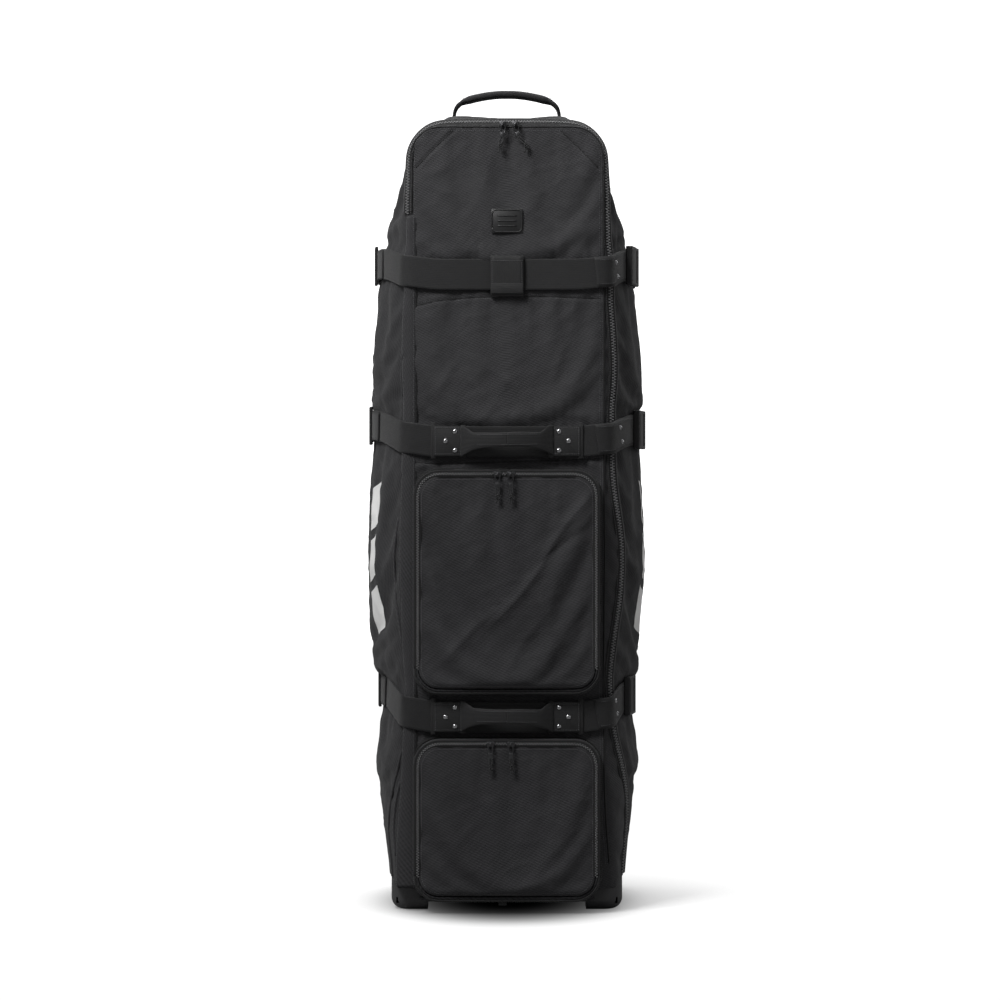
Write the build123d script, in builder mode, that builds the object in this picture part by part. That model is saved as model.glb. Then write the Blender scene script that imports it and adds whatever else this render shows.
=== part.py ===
from build123d import *
import os
from math import copysign, cos, pi, sin
from typing import NamedTuple

# Wheeled golf travel case, standing upright on two skate wheels (rear) and two
# moulded feet (front).  Millimetres, +Z up, front of the case faces -Y, origin on
# the floor under the centre of the overall footprint.  "Left" is -X.

os.makedirs("parts", exist_ok=True)

FOOTPRINT_SHIFT = -4.85   # y move that centres the footprint on the origin
REACH = 400.0             # half length of a cut that runs right through the case
SIDES = (("left", -1), ("right", 1))
ALONG_X = (0, 90, 0)      # rotations that lay a cylinder along an axis
ALONG_Y = (90, 0, 0)


# ------------------------------------------------------------------ shared helpers
def save(part, name):
    piece = Pos(0, FOOTPRINT_SHIFT, 0) * part
    piece.label = name
    export_step(piece, f"parts/{name}.step")


def front_plane(y):
    """Sketch plane at depth y that faces the front: x to the right, sketch y up."""
    return Plane.XZ.offset(-y)


def block(x, y, z, mode=Mode.ADD):
    """Box given by its (low, high) limits along each axis."""
    with Locations((sum(x) / 2, sum(y) / 2, sum(z) / 2)):
        Box(x[1] - x[0], y[1] - y[0], z[1] - z[0], mode=mode)


def inset_rectangle(half_width, height, radius, inset, mode=Mode.ADD):
    """Rounded rectangle, set in by inset all round (negative grows it)."""
    RectangleRounded(2 * (half_width - inset), height - 2 * inset, radius - inset, mode=mode)


def rounded_ring(half_width, height, radius, inset, band):
    """Ring of width band whose outer edge is set in from the given rectangle."""
    inset_rectangle(half_width, height, radius, inset)
    inset_rectangle(half_width, height, radius, inset + band, Mode.SUBTRACT)


def at_depth(spots, y):
    """Locations at depth y for spots given as (x, z)."""
    return [Pos(x, y, z) for x, z in spots]


# ------------------------------------------------------------------ body outline
FRONT_Y = -150.0          # outer face of the front wall
BACK_Y = 186.0            # outer face of the back wall
PANEL_X = 158.0           # half width of the flat front wall
BACK_X = 150.0            # half width of the flat back wall
SIDE_MID_Y = -45.0        # point between the front corner and the widest place
WIDEST_Y = 60.0
REAR_MID_Y = 146.0        # point between the widest place and the back corner
REAR_MID_IN = 14.0        # that point lies this far in from the widest place
SKIN = 5.0                # padded fabric wall
CROWN_Z = 1272.0          # top of the crown

# (height, half width) of the body; it is pulled in at the three straps
WIDTHS = [
    (16, 184), (70, 187), (160, 198), (250, 203), (310, 197), (345, 195),
    (380, 199), (430, 209), (560, 218), (680, 217), (752, 211), (840, 213),
    (930, 209), (1025, 202), (1090, 192), (1150, 178), (1300, 166),
]

# Crown silhouettes: (position, z, share of the inset taken off each of them)
CROWN_FROM_FRONT = [      # position is x, from the right shoulder to the middle
    (203, 1060, 1, 0), (180, 1136, 1, 0), (158, 1194, 1, 0), (141, 1232, 1, 0.7),
    (116, 1253, 0.5, 1), (60, 1268, 0, 1), (0, CROWN_Z, 0, 1),
]
CROWN_FROM_SIDE = [       # position is y, from the front edge to the back wall
    (FRONT_Y, 1250, -1, 1), (-128, 1261, 0, 1), (-60, 1268, 0, 1), (0, CROWN_Z, 0, 1),
    (80, 1264, 0, 1), (138, 1230, 0.6, 0.8), (172, 1175, 1, 0), (200, 1080, 0, 0),
]


def plan_points(half_width, inset):
    """Points of the right half of the plan, from the front corner to the back corner."""
    side_mid_x = PANEL_X + 0.8 * (half_width - PANEL_X)
    return (
        (PANEL_X - inset, FRONT_Y + inset),
        (side_mid_x - inset, SIDE_MID_Y),
        (half_width - inset, WIDEST_Y),
        (half_width - REAR_MID_IN - inset, REAR_MID_Y),
        (BACK_X - inset, BACK_Y - inset),
    )


def plan_outline(half_width, inset):
    right = plan_points(half_width, inset)
    front, side_mid, widest, rear_mid, back = right
    left_front, left_side_mid, left_widest, left_rear_mid, left_back = [(-x, y) for x, y in right]
    with BuildLine() as outline:
        Line(left_front, front)
        ThreePointArc(front, side_mid, widest)
        ThreePointArc(widest, rear_mid, back)
        Line(back, left_back)
        ThreePointArc(left_back, left_rear_mid, left_widest)
        ThreePointArc(left_widest, left_side_mid, left_front)
    # the block does not join the caller's sketch, so its edges are passed on
    make_face(outline.edges())


def inset_points(table, inset):
    return [(p - p_share * inset, z - z_share * inset) for p, z, p_share, z_share in table]


def body_solid(inset):
    """Solid inside the outer surface, set in by inset all round."""
    from_front = inset_points(CROWN_FROM_FRONT, inset)
    from_side = inset_points(CROWN_FROM_SIDE, inset)
    with BuildPart() as solid:
        for z, half_width in WIDTHS:
            with BuildSketch(Plane.XY.offset(z)):
                plan_outline(half_width, inset)
        loft()
        with BuildSketch(front_plane(REACH)):
            with BuildLine():
                Polyline((0, 0), (240, 0), (240, 1045), from_front[0])
                Spline(*from_front, tangents=[(-0.25, 1), (-1, 0)])
                mirror(about=Plane.YZ)
            make_face()
        extrude(amount=2 * REACH, mode=Mode.INTERSECT)
        with BuildSketch(Plane.YZ.offset(-REACH)):
            with BuildLine():
                Polyline((FRONT_Y - 5, 0), (FRONT_Y - 5, 1230), from_side[0])
                Spline(*from_side, tangents=[(0.4, 1), (0.25, -1)])
                Polyline(from_side[-1], (200, 0), (FRONT_Y - 5, 0))
            make_face()
        extrude(amount=2 * REACH, mode=Mode.INTERSECT)
    return solid.part


# ------------------------------------------------------------------ fabric panels
DOOR_X = 154.0            # half width of the front door
DOOR_Z0, DOOR_Z1 = 18.0, 1248.0
DOOR_MID_Z = (DOOR_Z0 + DOOR_Z1) / 2
DOOR_R = 50.0
DOOR_SHAPE = (DOOR_X, DOOR_Z1 - DOOR_Z0, DOOR_R)
DOOR_GAP = 1.0            # between the door and its opening

SPLIT_Z = 1200.0          # seam between the crown and the panels below it
BACK_SEAM_Y = 150.0       # seam between the side panels and the back panel
SEAM_GAP = 0.5
RIM_Z = 62.0              # rim of the moulded base deck


def fabric_skin():
    with BuildPart() as skin:
        add(body_solid(0.0))
        add(body_solid(SKIN), mode=Mode.SUBTRACT)
        # front opening for the door
        with BuildSketch(front_plane(-138)):
            with Locations((0, DOOR_MID_Z)):
                inset_rectangle(*DOOR_SHAPE, -DOOR_GAP)
        extrude(amount=30, mode=Mode.SUBTRACT)
        # bottom edge of the front wall, below the door
        block((-100, 100), (-170, -130), (5, 25), Mode.SUBTRACT)
        # the moulded deck takes the place of the fabric below its rim
        block((-220, 220), (-131, 260), (0, RIM_Z + 2), Mode.SUBTRACT)
        # room for the wheel boxes and the deck's back wall
        block((-182, 182), (106, 314), (0, 96), Mode.SUBTRACT)
    return skin.part


skin = fabric_skin()
below_crown = (0, SPLIT_Z - SEAM_GAP)
side_depth = (-200, BACK_SEAM_Y - SEAM_GAP)
# piece name and its x, y and z limits within the skin
PANELS = (
    ("side_panel_left", (-300, 0), side_depth, below_crown),
    ("side_panel_right", (0, 300), side_depth, below_crown),
    ("back_panel", (-300, 300), (BACK_SEAM_Y, BACK_SEAM_Y + 400), below_crown),
    ("crown_panel", (-300, 300), (-300, 300), (SPLIT_Z, SPLIT_Z + 200)),
)
for name, x_range, y_range, z_range in PANELS:
    with BuildPart() as panel:
        add(skin)
        block(x_range, y_range, z_range, Mode.INTERSECT)
    save(panel.part, name)

# ------------------------------------------------------------------ parts inside the case
CINCH_Z = 640.0           # height of the cinch strap across the back board

with BuildPart() as back_board:
    with BuildSketch(front_plane(176)):
        with Locations((0, 625)):
            RectangleRounded(270, 1050, 30)
    extrude(amount=-3)
save(back_board.part, "back_board")

with BuildPart() as crown_foam:
    with BuildSketch(Plane.XY.offset(1212)):
        with Locations((0, -8)):
            RectangleRounded(206, 220, 40)
    extrude(amount=26)
    fillet(crown_foam.faces().sort_by(Axis.Z)[-1].edges(), 14)
save(crown_foam.part, "crown_foam")

with BuildPart() as cinch_strap:
    with Locations((0, 173.6, CINCH_Z)):
        Box(240, 2, 38)
save(cinch_strap.part, "cinch_strap")

with BuildPart() as cinch_buckle:
    with Locations((0, 167.8, CINCH_Z)):
        Box(62, 9, 46)
    fillet(cinch_buckle.edges(), 2)
save(cinch_buckle.part, "cinch_buckle")

# ------------------------------------------------------------------ moulded base deck
DECK_X, DECK_Y0, DECK_Y1 = 184.0, -128.0, 192.0
DECK_MID_Y = (DECK_Y0 + DECK_Y1) / 2
DECK_SHAPE = (DECK_X, DECK_Y1 - DECK_Y0, 32)   # half width, depth, corner radius
DECK_WALL = 4.0
RAIL_X = 126.0            # inner side of the moulded side rails
WHEEL_X, WHEEL_Y, WHEEL_R, WHEEL_W = 155.0, 156.0, 38.0, 24.0
AXLE_R = 4.0
BOSS_OFFSET = 14.4        # bearing bosses, either side of the wheel's centre
DECK_RIVETS = [(x, z) for x in (-120, 0, 120) for z in (130, 285)]

with BuildPart() as base_deck:
    with BuildSketch():
        with Locations((0, DECK_MID_Y)):
            inset_rectangle(*DECK_SHAPE, 0)
    extrude(amount=RIM_Z)
    fillet(base_deck.faces().sort_by(Axis.Z)[0].edges(), 18)
    # raised underside between the rails and behind the feet
    block((-RAIL_X, RAIL_X), (DECK_MID_Y - 200, DECK_MID_Y + 200), (0, 14), Mode.SUBTRACT)
    block((-200, 200), (-66, 260), (0, 6), Mode.SUBTRACT)
    # inside of the tub and of the two rails
    with BuildSketch(Plane.XY.offset(19)):
        with Locations((0, DECK_MID_Y)):
            inset_rectangle(*DECK_SHAPE, DECK_WALL)
    extrude(amount=60, mode=Mode.SUBTRACT)
    with Locations((-155, -6, 15), (155, -6, 15)):
        Box(42, 228, 10, mode=Mode.SUBTRACT)
    # back wall
    with BuildSketch(front_plane(DECK_Y1)):
        with Locations((0, 160)):
            RectangleRounded(300, 282, 28)
    extrude(amount=DECK_WALL)
    # wheel boxes, open at the bottom and the back
    with Locations((-WHEEL_X, 150, 48), (WHEEL_X, 150, 48)):
        Box(32 + 2 * DECK_WALL, 84, 80)
    with Locations((-WHEEL_X, 162, 41), (WHEEL_X, 162, 41)):
        Box(32, 100, 86, mode=Mode.SUBTRACT)
    # bosses that locate the bearings, and the axle holes
    for _, sign in SIDES:
        for boss_x in (WHEEL_X - BOSS_OFFSET, WHEEL_X + BOSS_OFFSET):
            with Locations((sign * boss_x, WHEEL_Y, WHEEL_R)):
                Cylinder(8, 3.6, rotation=ALONG_X)
        with Locations((sign * 157, WHEEL_Y, WHEEL_R)):
            Cylinder(AXLE_R + 0.1, 60, rotation=ALONG_X, mode=Mode.SUBTRACT)
    # holes for the rivets that hold the back wall to the fabric
    with Locations(*at_depth(DECK_RIVETS, DECK_Y1 - 2)):
        Cylinder(2.6, 12, rotation=ALONG_Y, mode=Mode.SUBTRACT)
save(base_deck.part, "base_deck")

with BuildPart() as skid_rails:
    for x in (-84, -28, 28, 84):
        with BuildSketch(front_plane(DECK_Y1 + 0.2)):
            with Locations((x, 196)):
                SlotOverall(168, 14, rotation=90)
        extrude(amount=-5.5)
save(skid_rails.part, "skid_rails")

with BuildPart() as deck_rivets:
    for x, z in DECK_RIVETS:
        with Locations((x, DECK_Y1 + 1.3, z)):
            Cylinder(6, 2.2, rotation=ALONG_Y)      # head
        with Locations((x, DECK_Y1 - 2.2, z)):
            Cylinder(2.4, 5.6, rotation=ALONG_Y)    # shank
save(deck_rivets.part, "deck_rivets")

# ------------------------------------------------------------------ wheels
# Each wheel is built round the Z axis, then laid along X on its axle.
HALF_WHEEL = WHEEL_W / 2
TYRE_HALF = HALF_WHEEL - 1.0
TYRE_INNER_R, SHOULDER_R = 23.0, 31.0
BEARING_R, BEARING_HALF = 11.0, 3.5
BEARING_SEAT_R = BEARING_R + 0.02
HUB_INSET = 0.4           # hub centre and bearings end this far inside the wheel width
AXLE_X0, AXLE_X1 = 126.9, 184.3     # inner and outer end of the axle
AXLE_HEAD_T = 3.2

with BuildPart() as tyre:
    with BuildSketch(Plane.XZ):
        with BuildLine():
            Polyline((TYRE_INNER_R, -TYRE_HALF), (SHOULDER_R, -TYRE_HALF))
            ThreePointArc((SHOULDER_R, -TYRE_HALF), (WHEEL_R, 0), (SHOULDER_R, TYRE_HALF))
            Polyline((SHOULDER_R, TYRE_HALF), (TYRE_INNER_R, TYRE_HALF),
                     (TYRE_INNER_R, -TYRE_HALF))
        make_face()
    revolve(axis=Axis.Z)

with BuildPart() as hub:
    with BuildSketch():
        Circle(TYRE_INNER_R - 0.02)
        Circle(BEARING_SEAT_R, mode=Mode.SUBTRACT)
        with PolarLocations(17, 6):
            Circle(3.2, mode=Mode.SUBTRACT)
    extrude(amount=HALF_WHEEL - 1.5, both=True)
    with BuildSketch():
        Circle(13.5)
        Circle(BEARING_SEAT_R, mode=Mode.SUBTRACT)
    extrude(amount=HALF_WHEEL - HUB_INSET, both=True)

with BuildPart() as bearings:
    for sign in (-1, 1):
        with BuildSketch(Plane.XY.offset(sign * (HALF_WHEEL - HUB_INSET - BEARING_HALF))):
            Circle(BEARING_R)
            Circle(AXLE_R + 0.04, mode=Mode.SUBTRACT)
        extrude(amount=BEARING_HALF, both=True)

for side, sign in SIDES:
    wheel_plane = Plane(origin=(sign * WHEEL_X, WHEEL_Y, WHEEL_R), x_dir=(0, 0, 1),
                        z_dir=(1, 0, 0))
    for piece, name in ((tyre, "wheel_tyre"), (hub, "wheel_hub"), (bearings, "wheel_bearings")):
        save(wheel_plane.location * piece.part, f"{name}_{side}")

with BuildPart() as axle_sets:
    for _, sign in SIDES:
        with Locations((sign * (AXLE_X0 + AXLE_X1) / 2, WHEEL_Y, WHEEL_R)):
            Cylinder(AXLE_R, AXLE_X1 - AXLE_X0, rotation=ALONG_X)
        with Locations((sign * (AXLE_X1 + AXLE_HEAD_T / 2), WHEEL_Y, WHEEL_R)):
            Cylinder(8, AXLE_HEAD_T, rotation=ALONG_X)
        # hexagonal nut at the inner end
        with BuildSketch(Plane(origin=(sign * 128.2, WHEEL_Y, WHEEL_R), x_dir=(0, 1, 0),
                               z_dir=(sign, 0, 0))):
            RegularPolygon(7.4, 6)
            Circle(AXLE_R + 0.05, mode=Mode.SUBTRACT)
        extrude(amount=6.4)
save(axle_sets.part, "axle_sets")

# ------------------------------------------------------------------ front door
DOOR_T = 5.0
HINGE_X, HINGE_Y = -155.0, -153.0   # fabric hinge along the door's left edge
HINGE_Z, HINGE_LENGTH = 590.0, 1020.0
BADGE_Z = 1091.0
CHAIN_W, CHAIN_T = 5.0, 3.0         # zip chain
MAIN_CHAIN_Y = -154.0
MAIN_CHAIN_INSET = 1.0              # from the door's edge

with BuildPart() as front_door:
    with BuildSketch(front_plane(FRONT_Y)):
        with Locations((0, DOOR_MID_Z)):
            inset_rectangle(*DOOR_SHAPE, 0)
    extrude(amount=-DOOR_T)
    # bound edge that the door turns on
    with Locations((HINGE_X + 2, HINGE_Y + 1.5, HINGE_Z)):
        Box(2, 3.2, HINGE_LENGTH)
    with Locations((HINGE_X, HINGE_Y, HINGE_Z)):
        Cylinder(2.0, HINGE_LENGTH)
save(front_door.part, "front_door")

with BuildPart() as main_zip_chain:
    with BuildSketch(front_plane(MAIN_CHAIN_Y + CHAIN_T / 2)):
        with Locations((0, DOOR_MID_Z)):
            rounded_ring(*DOOR_SHAPE, MAIN_CHAIN_INSET, CHAIN_W)
        # the chain starts high on the left side and ends low on the right
        with Locations((-130, 556)):
            Rectangle(80, 1112, mode=Mode.SUBTRACT)
        with Locations((0, 40)):
            Rectangle(400, 120, mode=Mode.SUBTRACT)
    extrude(amount=CHAIN_T)
save(main_zip_chain.part, "main_zip_chain")

with BuildPart() as badge_patch:
    with BuildSketch(front_plane(FRONT_Y - 0.2)):
        with Locations((0, BADGE_Z)):
            RectangleRounded(56, 44, 8)
    extrude(amount=2.2)
save(badge_patch.part, "badge_patch")

# ------------------------------------------------------------------ pockets
POCKET_X = 146.5                    # half width
POCKET_R = 46.0
POCKETS = {"upper": (346.0, 698.0), "lower": (20.0, 274.0)}    # bottom and top
GUSSET_T = 3.0
POCKET_CHAIN_Y = -179.5
POCKET_CHAIN_INSET = 4.0            # from the pocket's edge
FLAP_INSET = 11.5                   # from the pocket's top and sides
FLAP_LIFT = 2.0                     # flap's bottom edge above the pocket's


def pocket_gusset(bottom, top):
    with BuildPart() as gusset:
        with BuildSketch(front_plane(FRONT_Y - 0.4)):
            with Locations((0, (bottom + top) / 2)):
                rounded_ring(POCKET_X, top - bottom, POCKET_R, 0, GUSSET_T)
        extrude(amount=25.1)
    return gusset.part


def pocket_chain(bottom, top):
    with BuildPart() as chain:
        with BuildSketch(front_plane(POCKET_CHAIN_Y + CHAIN_T / 2)):
            with Locations((0, (bottom + top) / 2)):
                rounded_ring(POCKET_X, top - bottom, POCKET_R, POCKET_CHAIN_INSET, CHAIN_W)
            # no chain along the bottom
            with Locations((0, bottom - 5)):
                Rectangle(400, 110, mode=Mode.SUBTRACT)
        extrude(amount=CHAIN_T)
    return chain.part


def pocket_flap(bottom, top):
    flap_bottom, flap_top = bottom + FLAP_LIFT, top - FLAP_INSET
    with BuildPart() as flap:
        with BuildSketch(front_plane(-178.5)):
            with Locations((0, (flap_bottom + flap_top) / 2)):
                RectangleRounded(2 * (POCKET_X - FLAP_INSET), flap_top - flap_bottom,
                                 POCKET_R - 11)
        extrude(amount=4)
        # rolled edge that the flap turns on
        with Locations((0, -178, flap_bottom)):
            Cylinder(1.6, 180, rotation=ALONG_X)
    return flap.part


for pocket, (bottom, top) in POCKETS.items():
    save(pocket_gusset(bottom, top), f"{pocket}_pocket_gusset")
    save(pocket_chain(bottom, top), f"{pocket}_zip_chain")
    save(pocket_flap(bottom, top), f"{pocket}_pocket_flap")

# ------------------------------------------------------------------ zip sliders and pulls
POCKET_CHAIN_DROP = POCKET_CHAIN_INSET + CHAIN_W / 2   # pocket top to chain centre line
# chain: y and z of its top run, x of the left and the right slider
SLIDERS = {
    "main": (MAIN_CHAIN_Y, DOOR_Z1 - MAIN_CHAIN_INSET - CHAIN_W / 2, -6.0, 14.0),
    "upper": (POCKET_CHAIN_Y, POCKETS["upper"][1] - POCKET_CHAIN_DROP, -15.0, 6.0),
    "lower": (POCKET_CHAIN_Y, POCKETS["lower"][1] - POCKET_CHAIN_DROP, -26.0, 6.0),
}
PULL_PIN_OUT = 6.0        # pin that the pull hangs on, in front of the chain


def zip_slider(x, y, z):
    with BuildPart() as slider:
        with Locations((x, y, z)):
            Box(12, 6.8, 8.6)
            Box(14, 3.7, 5.8, mode=Mode.SUBTRACT)    # passage for the chain
        # two lugs and the pin across them
        with Locations((x - 2.7, y - 5.2, z), (x + 2.7, y - 5.2, z)):
            Box(1.2, 4.2, 3.6)
        with Locations((x, y - PULL_PIN_OUT, z)):
            Cylinder(0.9, 5.6, rotation=ALONG_X)
    return slider.part


def zip_pull(x, y, z):
    """Pull that hangs from a pin centred on (x, y, z)."""
    with BuildPart() as pull:
        with Locations((x, y, z)):
            Cylinder(2.2, 3.4, rotation=ALONG_X)     # eye
        with Locations((x, y, z - 10.2)):
            Box(3.4, 1.6, 18)
        with Locations((x, y, z - 22)):
            Box(6, 1.8, 10)
        with Locations((x, y, z - 33)):
            Cylinder(1.5, 15)
        with Locations((x, y, z - 41)):
            Sphere(2.4)
        with Locations((x, y, z)):
            Cylinder(1.0, 8, rotation=ALONG_X, mode=Mode.SUBTRACT)
    return pull.part


for chain_name, (y, z, left_x, right_x) in SLIDERS.items():
    for side, x in (("left", left_x), ("right", right_x)):
        save(zip_slider(x, y, z), f"{chain_name}_{side}_slider")
        save(zip_pull(x, y - PULL_PIN_OUT, z), f"{chain_name}_{side}_pull")


# ------------------------------------------------------------------ compression straps
class Strap(NamedTuple):
    left_z: float         # centre line height at the left side, the middle and the right
    mid_z: float
    right_z: float
    half_width: float     # of the body at the strap
    buckle_y: float


# each strap sags in the middle
STRAPS = {
    "top": Strap(1032.0, 1007.0, 1026.0, 202.0, -62.0),
    "middle": Strap(772.0, 743.0, 764.0, 211.0, -40.0),
    "lower": Strap(346.0, 308.0, 338.0, 196.0, -62.0),
}
SAG_X, SAG_RUN = 100.0, 65.0   # level out to SAG_X, then rises over SAG_RUN
WEB = 50.0                # webbing width
WEB_T = 2.0               # webbing thickness
WEB_GAP = 6.2             # webbing stands this far off the body
WEB_END_Y = 112.0         # rear end of the webbing on both sides
LOCK_Y = 14.0             # ladder locks, on the left side
BUCKLE_W = WEB + 12
WEB_SLOT = WEB + 2


def strap_height(strap, x):
    """Height of a strap's centre line, seen from the front, x from the middle."""
    side_z = strap.left_z if x < 0 else strap.right_z
    t = min(max((abs(x) - SAG_X) / SAG_RUN, 0.0), 1.0)
    return strap.mid_z + (side_z - strap.mid_z) * t * t * (3 - 2 * t)


def strap_ring(strap):
    """Closed band of webbing round the body, standing off it by WEB_GAP."""
    with BuildSketch() as inside:
        plan_outline(strap.half_width, 0.0)
        offset(amount=WEB_GAP)
    stations = [(x, strap_height(strap, x)) for x in range(-240, 241, 10)]
    lower_edge = [(x, z - WEB / 2) for x, z in stations]
    upper_edge = [(x, z + WEB / 2) for x, z in stations]
    with BuildPart() as band:
        with BuildSketch(Plane.XY.offset(strap.mid_z - 60)):
            plan_outline(strap.half_width, 0.0)
            offset(amount=WEB_GAP + WEB_T)
            add(inside.sketch, mode=Mode.SUBTRACT)
        extrude(amount=160)
        with BuildSketch(front_plane(REACH)):
            with BuildLine():
                Polyline(*lower_edge, *upper_edge[::-1], close=True)
            make_face()
        extrude(amount=2 * REACH, mode=Mode.INTERSECT)
    return band.part


def side_frame(half_width, y_at, z, sign):
    """Plane at the webbing on the body's side (sign +1 is the right): x runs back
    along the body, z points out."""
    front, side_mid, widest = plan_points(half_width, 0.0)[:3]
    arc = ThreePointArc(front, side_mid, widest)
    low, high = 0.0, 1.0
    for _ in range(40):   # bisection for the point of the arc at y_at
        middle = (low + high) / 2
        if (arc @ middle).Y < y_at:
            low = middle
        else:
            high = middle
    point, tangent = arc @ low, arc % low
    along = Vector(sign * tangent.X, tangent.Y, 0)
    outward = Vector(sign * along.Y, -sign * along.X, 0)
    origin = Vector(sign * point.X, point.Y, z) + outward * WEB_GAP
    return Plane(origin=origin, x_dir=along, z_dir=outward)


def cut_webbing(ring, x, y, mid_z):
    """Length of a ring of webbing within the x and y limits."""
    with BuildPart() as web:
        add(ring)
        block(x, y, (mid_z - 100, mid_z + 100), Mode.INTERSECT)
    return web.part


def buckle_socket(frame):
    with BuildPart(frame) as socket:
        with Locations((-17, 0, 7.65)):
            Box(34, BUCKLE_W, 10.7)
        fillet(socket.edges(), 2)
        # hollow for the plug, slot for the webbing, windows for the side prongs
        with Locations((-11, 0, 5.75)):
            Box(22.2, 54, 9.5, mode=Mode.SUBTRACT)
        with Locations((-29, 0, 7.65)):
            Box(4, WEB_SLOT, 20, mode=Mode.SUBTRACT)
        with Locations((-13, 29, 7), (-13, -29, 7)):
            Box(10, 8, 5, mode=Mode.SUBTRACT)
    return socket.part


def buckle_plug(frame):
    with BuildPart(frame) as plug:
        with Locations((16, 0, 7.1)):
            Box(30, BUCKLE_W, 8.2)
        fillet(plug.edges(), 2)
        with Locations((12, 0, 7.5), (22, 0, 7.5)):
            Box(5, WEB_SLOT, 20, mode=Mode.SUBTRACT)
        # two side prongs and the middle tongue
        with Locations((-9, 23.2, 7), (-9, -23.2, 7)):
            Box(23, 6.4, 5.4)
        with Locations((-9, 0, 7)):
            Box(23, 9, 4)
    return plug.part


def ladder_lock(frame):
    with BuildPart(frame) as lock:
        with Locations((0, 0, 5.1)):
            Box(34, BUCKLE_W, 5)
        fillet(lock.edges(), 1.5)
        with Locations((-8, 0, 5.1), (7, 0, 5.1)):
            Box(8, WEB_SLOT, 20, mode=Mode.SUBTRACT)
        # round bar along the rear edge
        with Locations((17, 0, 5.1)):
            Cylinder(2.4, 58, rotation=ALONG_Y)
    return lock.part


plug_webs, left_webs = [], []
for name, strap in STRAPS.items():
    ring = strap_ring(strap)
    frame = side_frame(strap.half_width, strap.buckle_y, strap.right_z, 1)
    strap_end_y = frame.origin.Y - 26 * frame.x_dir.Y
    plug_web_y = frame.origin.Y + 8 * frame.x_dir.Y

    # across the front to the socket, from the plug back, and back along the left side
    front_web = cut_webbing(ring, (-150, 350), (strap_end_y - 500, strap_end_y), strap.mid_z)
    save(front_web, f"strap_{name}")
    plug_webs.append(cut_webbing(ring, (0, 300), (plug_web_y, WEB_END_Y), strap.mid_z))
    left_webs.append(cut_webbing(ring, (-300, 0), (-146, WEB_END_Y), strap.mid_z))

    save(buckle_socket(frame), f"buckle_socket_{name}")
    save(buckle_plug(frame), f"buckle_plug_{name}")
    lock_frame = side_frame(strap.half_width, LOCK_Y, strap.left_z, -1)
    save(ladder_lock(lock_frame), f"ladder_lock_{name}")

for name, webs in (("plug_webbing", plug_webs), ("left_webbing", left_webs)):
    with BuildPart() as webbing:
        for web in webs:
            add(web)
    save(webbing.part, name)

# ------------------------------------------------------------------ strap keeper and handle patches
KEEP_Y0, KEEP_Y1 = -150.3, -161.0   # back of the keeper's lips, front of its plate
KEEPER_W = 52.0
KEEPER_Z = STRAPS["top"].mid_z - 2
PATCH_X0, PATCH_X1 = 70.0, 118.0    # handle patches, measured from the centre
PATCH_T = 2.6
HANDLE_STRAPS = ("middle", "lower")
# rivets on each patch: (x from the centre, z from the strap's centre line)
PATCH_RIVETS = ((80, 15), (98, 0), (80, -15))
rivet_spots = [(sign * x, STRAPS[name].mid_z + dz) for name in HANDLE_STRAPS
               for sign in (-1, 1) for x, dz in PATCH_RIVETS]

# C-shaped loop: a plate in front of the strap with lips back to the door
with BuildPart() as strap_keeper:
    with BuildSketch(Plane.YZ.offset(-KEEPER_W / 2)):
        with Locations(((KEEP_Y0 + KEEP_Y1) / 2, KEEPER_Z)):
            Rectangle(KEEP_Y0 - KEEP_Y1, 63)
        with Locations((-154.3, KEEPER_Z)):
            Rectangle(8.6, 56, mode=Mode.SUBTRACT)
    extrude(amount=KEEPER_W)
save(strap_keeper.part, "strap_keeper")

with BuildPart() as handle_patches:
    for name in HANDLE_STRAPS:
        for _, sign in SIDES:
            with Locations((sign * (PATCH_X0 + PATCH_X1) / 2, KEEP_Y1 + PATCH_T / 2,
                            STRAPS[name].mid_z)):
                Box(PATCH_X1 - PATCH_X0, PATCH_T, 48)
    with Locations(*at_depth(rivet_spots, -160)):
        Cylinder(1.9, 8, rotation=ALONG_Y, mode=Mode.SUBTRACT)
save(handle_patches.part, "handle_patches")

with BuildPart() as strap_rivets:
    with Locations(*at_depth(rivet_spots, KEEP_Y1 - 1.1)):
        Cylinder(4.2, 1.8, rotation=ALONG_Y)    # heads
    with Locations(*at_depth(rivet_spots, KEEP_Y1 + 0.6)):
        Cylinder(1.8, 2.4, rotation=ALONG_Y)    # shanks
save(strap_rivets.part, "strap_rivets")

# ------------------------------------------------------------------ grab handles on the door
GRAB_HALF = 68.5          # half length
GRAB_PIVOT_Y = -165.0
GRAB_BACK_Y = GRAB_PIVOT_Y + 2
GRAB_T = 5.0
GRAB_FRONT_Y = GRAB_BACK_Y - GRAB_T
GRAB_BOW = 20.0           # how far the middle stands forward of the ends
GRIP_HALF_H, GRAB_END_HALF_H = 10.0, 3.0
GRIP_X = 44.0             # half length of the full-height part


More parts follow.
